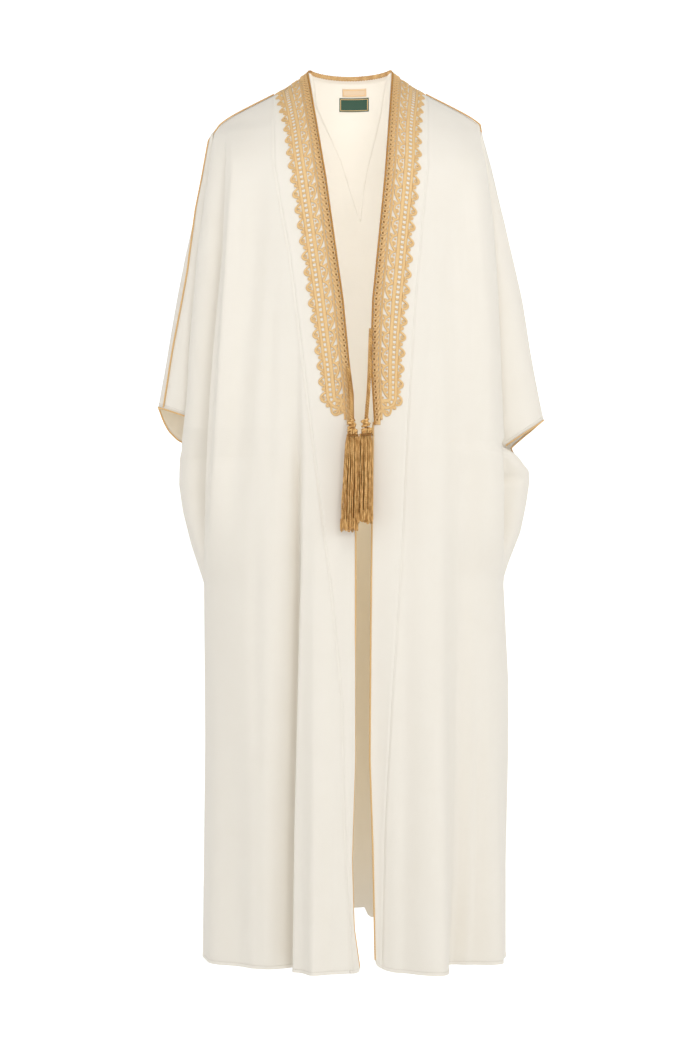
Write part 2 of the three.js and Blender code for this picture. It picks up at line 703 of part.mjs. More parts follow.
const BAND_ROWS = 16; // the embroidery lies on the upper rows
const BELOW_CUFF_ROW = UPPER_SHARE + ((1 - UPPER_SHARE) * 14) / (CHEST_END_Z - HEM_Z);
const PANEL_ROWS = [
  ...steps(BAND_ROWS).map((t) => UPPER_SHARE * (0.55 * t + 0.45 * t ** 2)),
  BELOW_CUFF_ROW,
  ...steps(10).slice(1).map((t) => lerp(UPPER_SHARE, 1, 0.25 * t + 0.75 * t ** 2)),
];
const GORE_LANES = [0, 0.16, 0.36, 0.58, BAND_LANE, 1];
const SIDE_LANES = [...sideSteps(11, 1), 2.5, 3];
const BACK_HALF_LANES = [
  ...steps(3, 0, 1), ...steps(3, 1, 2).slice(1), ...sideSteps(10, 2).slice(1), 3.5, 4,
];
const BACK_LANES = [...BACK_HALF_LANES.slice(1).map((lane) => -lane).reverse(), ...BACK_HALF_LANES];
const SLEEVE_LANES = steps(12);
const SLEEVE_ROWS = steps(11).map((t) => 0.6 * t + 0.4 * t ** 2);

function addFront(side) {
  const facing = side === "right" ? 1 : -1;
  const gore = makeGrid(GORE_LANES, PANEL_ROWS, (lane, down) => frontPoint(side, lane, down));
  const panel = makeGrid(SIDE_LANES, PANEL_ROWS, (lane, down) => frontPoint(side, lane, down));
  insetEdges(gore, ["top", "end"]);
  insetEdges(panel, ["top", "start", "end"]);
  const goreNormals = gridNormals(gore, facing);
  const panelNormals = gridNormals(panel, facing);
  squareToSeams(gore, goreNormals, []);
  squareToSeams(panel, panelNormals, ["end"]);
  addPiece(`front_gore_${side}`, clothWall(gore, goreNormals), COLOURS.cloth);
  const [upper, lower] = lengthsOf(panel, BAND_ROWS);
  const [upperNormals, lowerNormals] = [panelNormals.slice(0, BAND_ROWS + 1), panelNormals.slice(BAND_ROWS)];
  addPiece(`front_side_upper_${side}`, clothWall(upper, upperNormals), COLOURS.cloth);
  addPiece(`front_side_lower_${side}`, clothWall(lower, lowerNormals), COLOURS.cloth);
  addEmbroidery(side, gore, goreNormals);
  addFrontTrims(side, gore, goreNormals);
  return { gore, panel };
}

// How far across the gore's grid, in columns, the point with this x lies in a row.
function columnAt(grid, i, x) {
  const row = steps(grid[0].length - 1, 0, grid[0].length - 1).map((j) => onGrid(grid, i, j).x);
  const last = row.length - 1;
  for (let j = 0; j < last; j += 1) {
    const t = (x - row[j]) / (row[j + 1] - row[j]);
    if (t >= 0 && t <= 1) return j + t;
  }
  return last;
}

function addEmbroidery(side, grid, normals) {
  const rows = steps(2 * BAND_ROWS - 2, 0.5, BAND_ROWS - 0.5);
  const place = rows.map((i, n) => {
    const fromEnd = onGrid(grid, i, 0).z - BAND_END.z;
    const miss = clamp(BAND_END.radius - fromEnd, 0, BAND_END.radius * 0.97);
    const rounding = BAND_END.radius - Math.sqrt(BAND_END.radius ** 2 - miss ** 2);
    const bump = ((n % 2 ? 1 : -1) * EMBROIDERY.scallop) / 2;
    const width = Math.abs(onGrid(grid, i, 4).x - onGrid(grid, i, 1).x);
    const outer = 1 + (3 * (width - rounding + bump)) / width;
    return [1, lerp(1, outer, 1 / 3), lerp(1, outer, 2 / 3), outer].map((j) => ({ i, j }));
  });
  const points = place.map((row) => row.map(({ i, j }) => onGrid(grid, i, j)));
  const facing = place.map((row) => row.map(({ i, j }) => onGrid(normals, i, j).normalize()));
  const bottom = shifted(points, facing, EMBROIDERY.lift);
  const top = shifted(points, facing, EMBROIDERY.lift + EMBROIDERY.thickness);
  addPiece(`embroidery_${side}`, bodyBetween(top, bottom), COLOURS.gold, 0.3);
}

function addFrontTrims(side, gore, normals) {
  const sign = signOf(side);
  const braidRows = steps(BAND_ROWS * 2, 0.15, BAND_ROWS);
  const braidLine = braidRows.map((i) => {
    const edge = onGrid(gore, i, 0);
    const j = columnAt(gore, i, edge.x + sign * (BRAID.width / 2 - 0.6));
    const clearance = 0.7 + (1 - smoothstep(i, 1, 4)); // more where the chest bends away below the neck
    const out = onGrid(normals, i, 0.4).normalize();
    return onGrid(gore, i, j).addScaledVector(out, clearance + BRAID.depth / 2);
  });
  const braidFacing = braidRows.map((i) => onGrid(normals, i, 0.4).normalize());
  const braid = sweptTrim(braidLine, braidFacing, BRAID.width, BRAID.depth, 8);
  addPiece(`neck_braid_${side}`, braid, COLOURS.braid, 0.4);
  const rows = steps(gore.length - 1 - BAND_ROWS, BAND_ROWS + 0.1, gore.length - 1);
  const line = rows.map((i) => {
    const edge = onGrid(gore, i, 0);
    edge.x -= sign * (PIPING_RADIUS + 0.3);
    return edge.addScaledVector(onGrid(normals, i, 0), -CLOTH / 2);
  });
  const facing = rows.map((i) => onGrid(normals, i, 0));
  const size = 2 * PIPING_RADIUS;
  addPiece(`front_piping_${side}`, sweptTrim(line, facing, size, size, 6), COLOURS.gold, 0.4);
}

function addBack() {
  const grid = makeGrid(BACK_LANES, PANEL_ROWS, backPoint);
  insetEdges(grid, ["top", "start", "end"]);
  const normals = gridNormals(grid, 1);
  squareToSeams(grid, normals, ["start", "end"]);
  addPiece("back", clothWall(grid, normals), COLOURS.cloth);
  addNeckBraidBack(grid);
  for (const [name, label] of Object.entries(LABELS)) addLabel(name, label, grid, normals);
}

function addNeckBraidBack(grid) {
  const middle = (BACK_LANES.length - 1) / 2;
  const neckColumns = steps(12, middle - 3 + 0.1, middle + 3 - 0.1);
  const line = neckColumns.map((j) => {
    const point = onGrid(grid, 0, j);
    point.z += BRAID.depth / 2 + 0.5;
    point.y -= CLOTH / 2;
    return point;
  });
  const facing = line.map(() => new THREE.Vector3(0, 0, 1));
  addPiece("neck_braid_back", sweptTrim(line, facing, 5.5, BRAID.depth, 8), COLOURS.braid, 0.4);
}

// A label on the inner face of the back, below the neck line.
function addLabel(name, { x, down, colour }, grid, normals) {
  const inner = shifted(grid, normals, -CLOTH);
  const rowAt = (z) => {
    const middle = (BACK_LANES.length - 1) / 2;
    let i = 0;
    while (onGrid(inner, i, middle).z > z) i += 0.05;
    return i;
  };
  const points = steps(2, -down[0], -down[1]).map((z) => {
    const i = rowAt(z);
    return steps(4, x[0], x[1]).map((across) => onGrid(inner, i, columnAt(inner, i, across)));
  });
  const facing = gridNormals(points, 1);
  const near = shifted(points, facing, -LABEL_LIFT);
  const far = shifted(points, facing, -LABEL_LIFT - LABEL_THICKNESS);
  addPiece(name, bodyBetween(far, near), colour);
}

function addSleeve(side) {
  const facing = side === "right" ? 1 : -1;
  const grid = makeGrid(SLEEVE_LANES, SLEEVE_ROWS, (lane, down) => sleevePoint(side, lane, down));
  const normals = gridNormals(grid, facing);
  addPiece(`sleeve_${side}`, clothWall(grid, normals), COLOURS.cloth);
  const last = grid.length - 1;
  const size = 2 * PIPING_RADIUS;
  const endLane = SLEEVE_LANES.length - 1;
  const lanes = [CUFF_PIPING_INSET, ...steps(endLane - 2, 1, endLane - 1), endLane - CUFF_PIPING_INSET];
  const cuffFacing = lanes.map((j) => onGrid(normals, last, j).normalize());
  const cuffEdge = lanes.map((j) => onGrid(grid, last, j));
  const cuffLine = cuffEdge.map((point, k) => {
    const before = cuffEdge[Math.max(k - 1, 0)];
    const after = cuffEdge[Math.min(k + 1, cuffEdge.length - 1)];
    const below = new THREE.Vector3().subVectors(after, before).cross(cuffFacing[k]).normalize();
    if (below.z > 0) below.negate();
    return point.clone()
      .addScaledVector(cuffFacing[k], -CLOTH / 2)
      .addScaledVector(below, PIPING_RADIUS + PIPING_GAP);
  });
  addPiece(`cuff_piping_${side}`, sweptTrim(cuffLine, cuffFacing, size, size, 6), COLOURS.gold, 0.4);
  return { grid, normals };
}

// Piping over the shoulder seam and on down the top of the arm.
function addShoulderPiping(side, front, sleeve) {
  const lift = PIPING_RADIUS + 0.7;
  const tip = new THREE.Vector3(signOf(side) * 0.75, 0, 0.65);
  const seamPoints = front.panel[0].slice(0, -2);
  const up = new THREE.Vector3(0, 0, 1);
  const shoulderFacing = seamPoints.map((_, j) => up.clone().lerp(tip, smoothstep(j, 7, 12)));
  const shoulder = seamPoints.map((point, j) => {
    const middle = point.clone();
    middle.y = shoulderY(point.x);
    return middle.addScaledVector(shoulderFacing[j], lift + smoothstep(j, 7, 12));
  });
  const last = sleeve.grid.length - 1;
  const { shoulder: atTop, cuff } = ARM_SEAM_LANE[side];
  const lanes = SLEEVE_LANES.length - 1;
  const arm = steps(last, 0, last).map((i) => {
    const j = lerp(atTop, cuff, (i / last) ** ARM_SEAM_EASE) * lanes;
    return { place: onGrid(sleeve.grid, i, j), facing: onGrid(sleeve.normals, i, j).normalize() };
  });
  const armLine = arm.map((step) => step.place.clone().addScaledVector(step.facing, lift));
  const line = [...shoulder, ...armLine];
  const facing = [...shoulderFacing, ...arm.map((step) => step.facing)];
  const size = 2 * PIPING_RADIUS;
  addPiece(`shoulder_piping_${side}`, sweptTrim(line, facing, size, size, 6), COLOURS.gold, 0.4);
}

// ---- cords, knots and tassels ----
function addCord(side) {
  const line = CORDS[side].map(([x, y, z]) => new THREE.Vector3(x, y, z));
  const curve = new THREE.CatmullRomCurve3(line);
  const radius = CORD_DIAMETER / 2;
  const section = new THREE.Shape(
    Array.from({ length: 8 }, (_, k) => {
      const angle = (k / 8) * 2 * Math.PI;
      return new THREE.Vector2(Math.cos(angle) * radius, Math.sin(angle) * radius);
    }),
  );
  const stepsAlong = Math.round(curve.getLength() / (2.5 * CORD_DIAMETER));
  const geometry = new THREE.ExtrudeGeometry(section, { extrudePath: curve, steps: stepsAlong });
  addPiece(`cord_${side}`, geometry, COLOURS.braid, 0.4);
}

function addKnots(side) {
  const knot = KNOTS[side];
  const cordEnd = CORDS[side].at(-1);
  const ball = new THREE.SphereGeometry(1, 12, 8);
  ball.scale(6.6, 6, (cordEnd[2] - 0.3 - (knot.barZ + 6.2)) / 2);
  ball.translate(knot.x, HANG_Y + 2, (cordEnd[2] - 0.3 + knot.barZ + 6.2) / 2);
  addPiece(`knot_${side}`, ball, COLOURS.braid, 0.4);
  const bar = new THREE.CapsuleGeometry(5.8, knot.barWidth - 11.6, 4, 12);
  bar.rotateZ(Math.PI / 2);
  bar.translate(knot.barX, HANG_Y + 0.5, knot.barZ);
  addPiece(`bar_knot_${side}`, bar, COLOURS.braid, 0.4);
}

function strandOf(knot, angle, ring) {
  const rootRadius = ring === 0 ? 7.2 : 3.8;
  const endRadius = ring === 0 ? 12 : 6.8;
  const rootZ = knot.tasselTop - 17;
  const endZ = knot.tasselEnd + (1 + Math.sin(angle * 5)) * 3 + ring * 2;
  const sway = Math.sin(angle * 7 + ring) * 1.2;
  const rings = steps(4).map((t) => {
    const spread = lerp(rootRadius, endRadius, Math.sin((t * Math.PI) / 2));
    const radius = spread + sway * Math.sin(t * Math.PI) * 0.5;
    const turn = angle + 0.12 * t * (ring === 0 ? 1 : -1);
    const centre = new THREE.Vector3(
      lerp(knot.tasselX, knot.endX, t) + Math.cos(turn) * radius,
      HANG_Y - 1 + Math.sin(turn) * radius * 0.8,
      lerp(rootZ, endZ, t),
    );
    const size = lerp(1, 1.5, t);
    return Array.from({ length: 3 }, (_, k) => {
      const corner = (k / 3) * 2 * Math.PI + turn;
      const out = new THREE.Vector3(Math.cos(corner), Math.sin(corner) * 0.8, 0);
      return centre.clone().addScaledVector(out, size);
    });
  });
  return facingOut(tubeBody(rings));
}

function addTassel(side) {
  const knot = KNOTS[side];
  const profile = [
    [0, 0], [5.2, -0.5], [7.4, -4], [8.2, -9], [6.6, -12.5], [8.6, -15.5], [9, -19], [0, -19.5],
  ].map(([radius, z]) => new THREE.Vector2(radius, z));
  const head = new THREE.LatheGeometry(profile.reverse(), 14);
  head.rotateX(Math.PI / 2);
  head.scale(1, 0.85, 1);
  head.translate(knot.tasselX, HANG_Y - 1, knot.tasselTop - 0.3);
  const strands = [];
  for (const [ring, count] of [[0, 18], [1, 10]]) {
    for (let k = 0; k < count; k += 1) strands.push(strandOf(knot, (k / count) * 2 * Math.PI, ring));
  }
  const tassel = joined([facingOut(mergeVertices(solidPositions(head))), ...strands]);
  addPiece(`tassel_${side}`, tassel, COLOURS.tassel, 0.3);
}

function solidPositions(geometry) {
  const bare = geometry.clone();
  bare.deleteAttribute("normal");
  bare.deleteAttribute("uv");
  return bare;
}

addBack();
for (const side of SIDES) {
  const front = addFront(side);
  const sleeve = addSleeve(side);
  addShoulderPiping(side, front, sleeve);
  addCord(side);
  addKnots(side);
  addTassel(side);
}

export default garment;
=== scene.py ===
"""A bisht: a full-length open cloak of cream wool with gold embroidery, braid, piping and two tie cords.

The frame holds the cut and the places. This file dresses it. Tables and sizes are in millimetres, as a
tailor writes them, and meshes are made in metres. The front faces -Y and the wearer's right is -X.
"""
import math
import random

import bmesh
import bpy
import numpy as np
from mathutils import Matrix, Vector


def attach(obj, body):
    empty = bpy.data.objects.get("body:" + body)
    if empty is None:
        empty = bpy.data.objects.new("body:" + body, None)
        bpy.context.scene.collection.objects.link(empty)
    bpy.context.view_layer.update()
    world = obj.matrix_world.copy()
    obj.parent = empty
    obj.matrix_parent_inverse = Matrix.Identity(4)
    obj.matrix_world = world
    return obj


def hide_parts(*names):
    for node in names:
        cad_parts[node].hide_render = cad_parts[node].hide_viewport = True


bl_info = {
    "name": "Bisht Cloak",
    "version": (1, 0, 0),
    "blender": (4, 5, 0),
    "location": "View3D > Sidebar > Cloak",
    "description": "Dresses a gold-trimmed open cloak on its packed frame",
    "category": "Object",
}

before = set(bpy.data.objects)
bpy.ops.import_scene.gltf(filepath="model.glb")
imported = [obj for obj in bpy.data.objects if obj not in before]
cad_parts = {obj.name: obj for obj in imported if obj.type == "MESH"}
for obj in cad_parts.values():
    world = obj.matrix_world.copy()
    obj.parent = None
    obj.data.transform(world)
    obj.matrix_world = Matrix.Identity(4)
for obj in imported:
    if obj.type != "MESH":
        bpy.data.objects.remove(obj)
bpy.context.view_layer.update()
BODY = "root"
MM = 0.001
SIDES = ("right", "left")
SIGN = {"right": -1.0, "left": 1.0}
FORWARD, UPWARD = np.array([0.0, -1.0, 0.0]), np.array([0.0, 0.0, 1.0])

# ---- the cut, as the frame has it ----
HEM_Z, BACK_HEM_LIFT, BACK_HEM_STEP = -1456.0, 54.0, 18.0
CHEST_END_Z, UPPER_SHARE = -590.0, 0.6
NECK_X, NECK_BACK_Y, NECK_POINT_Y, NECK_DIP = 68.0, 72.0, 22.0, 4.0
NECK_RISE, NECK_RISE_END_X = 3.5, 130.0
SHOULDER_TIP_X, SHOULDER_TIP_Y, SHOULDER_TIP_Z = 214.0, 10.0, -86.0
GORE_TOP_X = 126.0
SECTION_POWER = 2.3
CURL_INWARD, CURL_BACK, CURL_HEIGHT = 9.0, 7.0, 70.0
LAST_STRIP = 0.984
BAND_LANE = 0.8
BAND_END_Z = -574.0


def table(columns, *rows):
    """A table whose rows go down in z, kept as columns of numbers."""
    names = columns.split()
    return {name: np.array([row[i] for row in rows], float) for i, name in enumerate(names)}


def read(rows, column, z):
    return np.interp(-np.asarray(z, float), -rows["z"], rows[column])


OUTLINE = {
    "right": table(
        "z body front back sleeve",
        (-86, 214, -12, 28, 217), (-103, 224, -30, 42, 231), (-150, 231, -45, 52, 241),
        (-231, 241, -52, 58, 257), (-308, 250, -55, 60, 273), (-453, 263, -55, 58, 300),
        (-545, 269, -51, 51, 315), (-590, 274, -41, 42, 323), (-640, 281, 2, 2, 322),
        (-681, 282, 2, 2, 322), (-724, 276, 2, 2, 322), (-780, 262, 2, 2, 322),
        (-843, 241, 2, 2, 322), (-1100, 239, 2, 2, 322), (-1456, 243, 2, 2, 322),
    ),
    "left": table(
        "z body front back sleeve",
        (-86, 211, -12, 28, 214), (-103, 213, -30, 42, 219), (-156, 221, -45, 52, 234),
        (-247, 231, -52, 58, 257), (-374, 240, -55, 60, 284), (-450, 243, -58, 58, 297),
        (-590, 248, -55, 52, 322), (-616, 252, -46, 45, 323), (-630, 277, -32, 36, 324),
        (-659, 296, 6, 6, 324), (-680, 296, 6, 6, 324), (-713, 291, 6, 6, 324),
        (-760, 281, 4, 4, 324), (-805, 263, 2, 2, 324), (-836, 253, 2, 2, 324),
        (-1000, 261, 2, 2, 324), (-1120, 261, 2, 2, 324), (-1300, 257, 2, 2, 324), (-1456, 257, 2, 2, 324),
    ),
}
DEPTH = table(
    "z chest back",
    (0, 136, 96), (-150, 142, 112), (-260, 146, 122), (-560, 151, 118), (-800, 153, 130), (-1100, 160, 150),
    (-1456, 168, 168),
)
FRONT_EDGE = {
    "right": table(
        "z x", (0, -70), (-90, -55), (-191, -38), (-389, -10), (-485, -1), (-540, 6), (-763, 8), (-1119, 8),
        (-1276, 3), (-1384, 6), (-1456, 16),
    ),
    "left": table(
        "z x", (0, 70), (-90, 63), (-191, 55), (-389, 35), (-485, 32), (-580, 38), (-760, 36), (-1119, 33),
        (-1263, 38), (-1456, 42),
    ),
}
GORE_SEAM = {
    "right": table(
        "z x", (0, -128), (-171, -121), (-243, -109), (-316, -96), (-410, -84), (-849, -29), (-1023, -12),
        (-1200, -9), (-1456, 4),
    ),
    "left": table(
        "z x", (0, 130), (-171, 124), (-277, 113), (-389, 103), (-480, 97), (-580, 91), (-803, 81),
        (-1030, 66), (-1228, 56), (-1456, 52),
    ),
}
BAND_EDGE = {
    "right": table("z x", (0, -122), (-158, -102), (-277, -83), (-389, -67), (-496, -52), (-580, -44)),
    "left": table("z x", (0, 124), (-158, 117), (-277, 104), (-389, 94), (-443, 89), (-513, 85), (-580, 82)),
}


def fold(inner, outer, *path):
    """One fold: its widths towards the middle and the arm, then (z, x, depth) down its path."""
    return {"inner": inner, "outer": outer, **table("z x depth", *path)}


FRONT_FOLDS = {
    "right": [
        fold(4, 22, (-110, 208, 0), (-160, 207, 12), (-308, 212, 22), (-524, 234, 27), (-709, 243, 30),
             (-840, 250, 0)),
        fold(22, 8, (-110, 190, 0), (-200, 186, -8), (-524, 205, -14), (-709, 218, -10), (-840, 226, 0)),
        fold(20, 26, (-170, 145, 0), (-330, 155, 7), (-580, 180, 9), (-800, 190, 0)),
        fold(5, 30, (-420, 84, 0), (-640, 84, 10), (-803, 86, 21), (-1228, 97, 32), (-1460, 100, 38)),
        fold(34, 16, (-600, 52, 0), (-1000, 54, -10), (-1460, 54, -26)),
        fold(26, 26, (-900, 190, 0), (-1200, 188, 8), (-1460, 185, 12)),
        fold(30, 22, (-850, 222, 0), (-1200, 222, -5), (-1460, 224, -10)),
    ],
    "left": [
        fold(5, 24, (-604, 250, 0), (-630, 252, 18), (-662, 256, 28), (-760, 257, 28), (-828, 256, 0)),
        fold(24, 20, (-110, 196, 0), (-250, 206, -8), (-600, 224, -10), (-830, 236, -4), (-1000, 236, 0)),
        fold(22, 26, (-200, 160, 0), (-330, 166, 7), (-650, 182, 9), (-1000, 182, 16), (-1300, 182, 24),
             (-1460, 182, 40)),
        fold(40, 26, (-480, 140, 0), (-800, 136, -12), (-1200, 134, -26), (-1460, 130, -44)),
        fold(26, 16, (-900, 238, 0), (-1200, 234, -6), (-1460, 232, -18)),
        fold(14, 26, (-640, 36, 0), (-1000, 38, 10), (-1460, 42, 14)),
    ],
}
BACK_FOLDS = [
    fold(34, 26, (-330, 10, 0), (-800, 8, 10), (-1460, 6, 18)),
    fold(34, 30, (-420, 76, 0), (-900, 78, -12), (-1460, 80, -24)),
    fold(30, 34, (-420, -70, 0), (-900, -74, -10), (-1460, -80, -22)),
    fold(26, 30, (-260, 142, 0), (-700, 148, 12), (-1460, 152, 24)),
    fold(30, 26, (-260, -138, 0), (-700, -146, 14), (-1460, -150, 26)),
    fold(24, 16, (-160, 196, 0), (-500, 210, -10), (-1460, 214, -12)),
    fold(16, 24, (-160, -196, 0), (-500, -212, -10), (-1460, -212, -12)),
]

# Finer creases than the frame's solids hold.
FINE_FRONT_FOLDS = {
    "right": [
        fold(10, 14, (-250, 118, 0), (-520, 128, 3.3), (-900, 132, 0)),
        fold(12, 12, (-620, 150, 0), (-900, 152, 3.8), (-1250, 150, 2.2), (-1460, 148, 4.5)),
        fold(9, 12, (-130, 172, 0), (-300, 180, 3), (-480, 190, 0)),
        fold(2.4, 4, (-300, 213, 0), (-380, 218, 9), (-490, 226, 13), (-642, 237, 14), (-820, 242, 10),
             (-860, 244, 0)),
        fold(5, 9, (-560, 81, 0), (-660, 83, 9), (-850, 87, 12), (-1228, 97, 8), (-1460, 100, 5)),
        fold(12, 18, (-700, 28, 0), (-1100, 30, 3.8), (-1460, 34, 6)),
    ],
    "left": [
        fold(10, 14, (-240, 130, 0), (-480, 128, 3.3), (-760, 122, 0)),
        fold(12, 14, (-560, 92, 0), (-900, 88, 3.6), (-1460, 86, 6)),
        fold(9, 12, (-140, 178, 0), (-320, 190, 3), (-520, 200, 0)),
        fold(8, 12, (-840, 212, 0), (-1100, 212, 5.2), (-1460, 210, 9)),
        fold(9, 9, (-700, 158, 0), (-1100, 158, 3), (-1460, 156, 4.5)),
    ],
}
FINE_BACK_FOLDS = [
    fold(12, 16, (-500, 44, 0), (-1000, 42, 4.5), (-1460, 40, 7.5)),
    fold(14, 12, (-480, -34, 0), (-1000, -38, 3.8), (-1460, -40, 6)),
    fold(12, 14, (-300, 112, 0), (-700, 112, 4.5), (-1200, 114, 3)),
    fold(14, 12, (-320, -104, 0), (-760, -110, 4.5), (-1250, -112, 3)),
    fold(10, 14, (-700, 186, 0), (-1100, 186, 6), (-1460, 184, 9)),
    fold(14, 10, (-700, -184, 0), (-1100, -184, 6), (-1460, -182, 9)),
    fold(16, 16, (-110, 84, 0), (-220, 96, 3.8), (-400, 104, 0)),
    fold(16, 16, (-110, -84, 0), (-220, -96, 3.8), (-400, -104, 0)),
]
# The cuff's height at the front seam, outside and at the back seam, and how quickly it rises to the last.
CUFF_Z = {"right": (-570.0, -552.0, -610.0), "left": (-623.0, -573.0, -637.0)}
CUFF_DROP = {"right": 2.1, "left": 1.0}
SLEEVE_TOP = 12.0
ARM_SEAM_DOWN = (0.0, 0.15, 0.5, 1.0)
ARM_SEAM_LANE = {"right": (0.45, 0.33, 0.22, 0.27), "left": (0.82, 0.76, 0.7, 0.68)}
SLEEVE_ROWS, SLEEVE_COLUMNS = 100, 61
SLEEVE_CREASE, SLEEVE_CREASE_TURNS, SLEEVE_CREASE_HEIGHT = 3.0, 9.0, 90.0
SLEEVE_PROUD, SLEEVE_TUCK = 3.2, 1.4
CROSS_CREASE_Z, CROSS_CREASE_HEIGHT, CROSS_CREASE_DEPTH = -672.0, 7.0, 9.0
CROSS_CREASE_X, CROSS_CREASE_REACH = 246.0, 16.0
# The rounded lower corner of each front: its width and its rise.
HEM_CORNER = {"right": (14.0, 7.0), "left": (38.0, 15.0)}
# How far below the shoulder the cloth has rounded over: at the neck in front, behind it, and at the arm.
ROUND_FRONT, ROUND_BACK, ROUND_ARM = 250.0, 200.0, 130.0

# ---- the shape of the garment, on arrays ----


def smooth(value, low, high):
    t = np.clip((np.asarray(value, float) - low) / (high - low), 0.0, 1.0)
    return t * t * (3 - 2 * t)


def mix(a, b, t):
    return a + (b - a) * t


def unit(vectors):
    return vectors / (np.linalg.norm(vectors, axis=-1, keepdims=True) + 1e-15)


def run_of(path):
    """The distance along a path at each of its points."""
    return np.cumsum(np.r_[0, np.linalg.norm(np.diff(path, axis=0), axis=-1)])


def sampled(path, run, at):
    """The points of a path at the distances asked for, where run is its own distances."""
    return np.stack([np.interp(at, run, path[:, i]) for i in range(3)], -1)


def axes_along(path, up):
    """The two directions square to a path: the one nearest to up, and the one across."""
    along = unit(np.gradient(path, axis=0))
    out = unit(up - along * np.sum(up * along, -1, keepdims=True))
    return out, np.cross(along, out)


def round_over(fall, reach):
    t = np.clip(fall / reach, 0.0, 1.0)
    return (1 - (1 - t) ** 2) ** 0.72


def fold_depth(folds, x, z):
    depth = np.zeros(np.broadcast(x, z).shape)
    for one in folds:
        off = x - read(one, "x", z)
        width = np.where(off * np.sign(np.where(x == 0, 1, x)) < 0, one["inner"], one["outer"])
        inside = (z <= one["z"][0]) & (z >= one["z"][-1])
        depth += np.where(inside, read(one, "depth", z) * np.exp(-((off / width) ** 2)), 0.0)
    return depth


def shoulder_z(x):
    t = np.clip((np.abs(x) - NECK_X) / (SHOULDER_TIP_X - NECK_X), 0.0, None)
    dip = NECK_DIP * np.clip(1 - (x / NECK_X) ** 2, 0, None)
    rise = NECK_RISE * (1 - smooth(np.abs(x), NECK_X, NECK_RISE_END_X))
    return SHOULDER_TIP_Z * mix(t ** 0.88, t ** 8, 0.08) - dip + rise


def shoulder_y(x):
    t = np.clip((np.abs(x) - NECK_X) / (SHOULDER_TIP_X - NECK_X), 0.0, 1.0)
    return mix(NECK_POINT_Y, SHOULDER_TIP_Y, t)


def neck_y(x):
    return NECK_POINT_Y + (NECK_BACK_Y - NECK_POINT_Y) * np.sqrt(np.clip(1 - (x / NECK_X) ** 2, 0, None))


def section_y(side, x, z, facing):
    edge = read(OUTLINE[side], "body", z)
    edge_y = read(OUTLINE[side], "front" if facing < 0 else "back", z)
    depth = read(DEPTH, "chest" if facing < 0 else "back", z)
    round_part = np.sqrt(np.clip(1 - np.minimum(1, np.abs(x) / edge) ** SECTION_POWER, 0, None))
    return edge_y + (facing * depth - edge_y) * round_part


def sink(side, x, y, z, depth, facing):
    edge = read(OUTLINE[side], "body", z)
    reach = read(DEPTH, "chest" if facing < 0 else "back", z)
    out_x, out_y = x / edge ** 2, facing * np.abs(y) / reach ** 2
    length = np.hypot(out_x, out_y) + 1e-12
    return x - out_x / length * depth, y - out_y / length * depth


def curl_amount(side, z):
    outline = OUTLINE[side]
    apart = np.abs(read(outline, "front", z) - read(outline, "back", z))
    return smooth(SHOULDER_TIP_Z - z, 8, CURL_HEIGHT) * smooth(apart, 4, 70)


def curl_at(side, z, turn, facing):
    amount = curl_amount(side, z)
    angle = turn * math.pi / 2
    inward = CURL_INWARD * amount * (1 - np.cos(angle))
    return -SIGN[side] * inward, -facing * CURL_BACK * amount * np.sin(angle)


def width_share(side, z, turn):
    return mix(mix(LAST_STRIP, 1.0, curl_amount(side, z)), 1.0, turn)


def gore_x(side, lane, z):
    edge, seam = read(FRONT_EDGE[side], "x", z), read(GORE_SEAM[side], "x", z)
    below = smooth(-z, -BAND_END_Z, -BAND_END_Z + 80)
    band = mix(read(BAND_EDGE[side], "x", z), mix(edge, seam, BAND_LANE), below)
    beyond = (lane - BAND_LANE) / (1 - BAND_LANE)
    return np.where(lane < BAND_LANE, mix(edge, band, lane / BAND_LANE), mix(band, seam, beyond))


def height_at(top_z, hem_z, down):
    return np.where(
        down < UPPER_SHARE,
        mix(top_z, CHEST_END_Z, down / UPPER_SHARE),
        mix(CHEST_END_Z, hem_z, (down - UPPER_SHARE) / (1 - UPPER_SHARE)),
    )


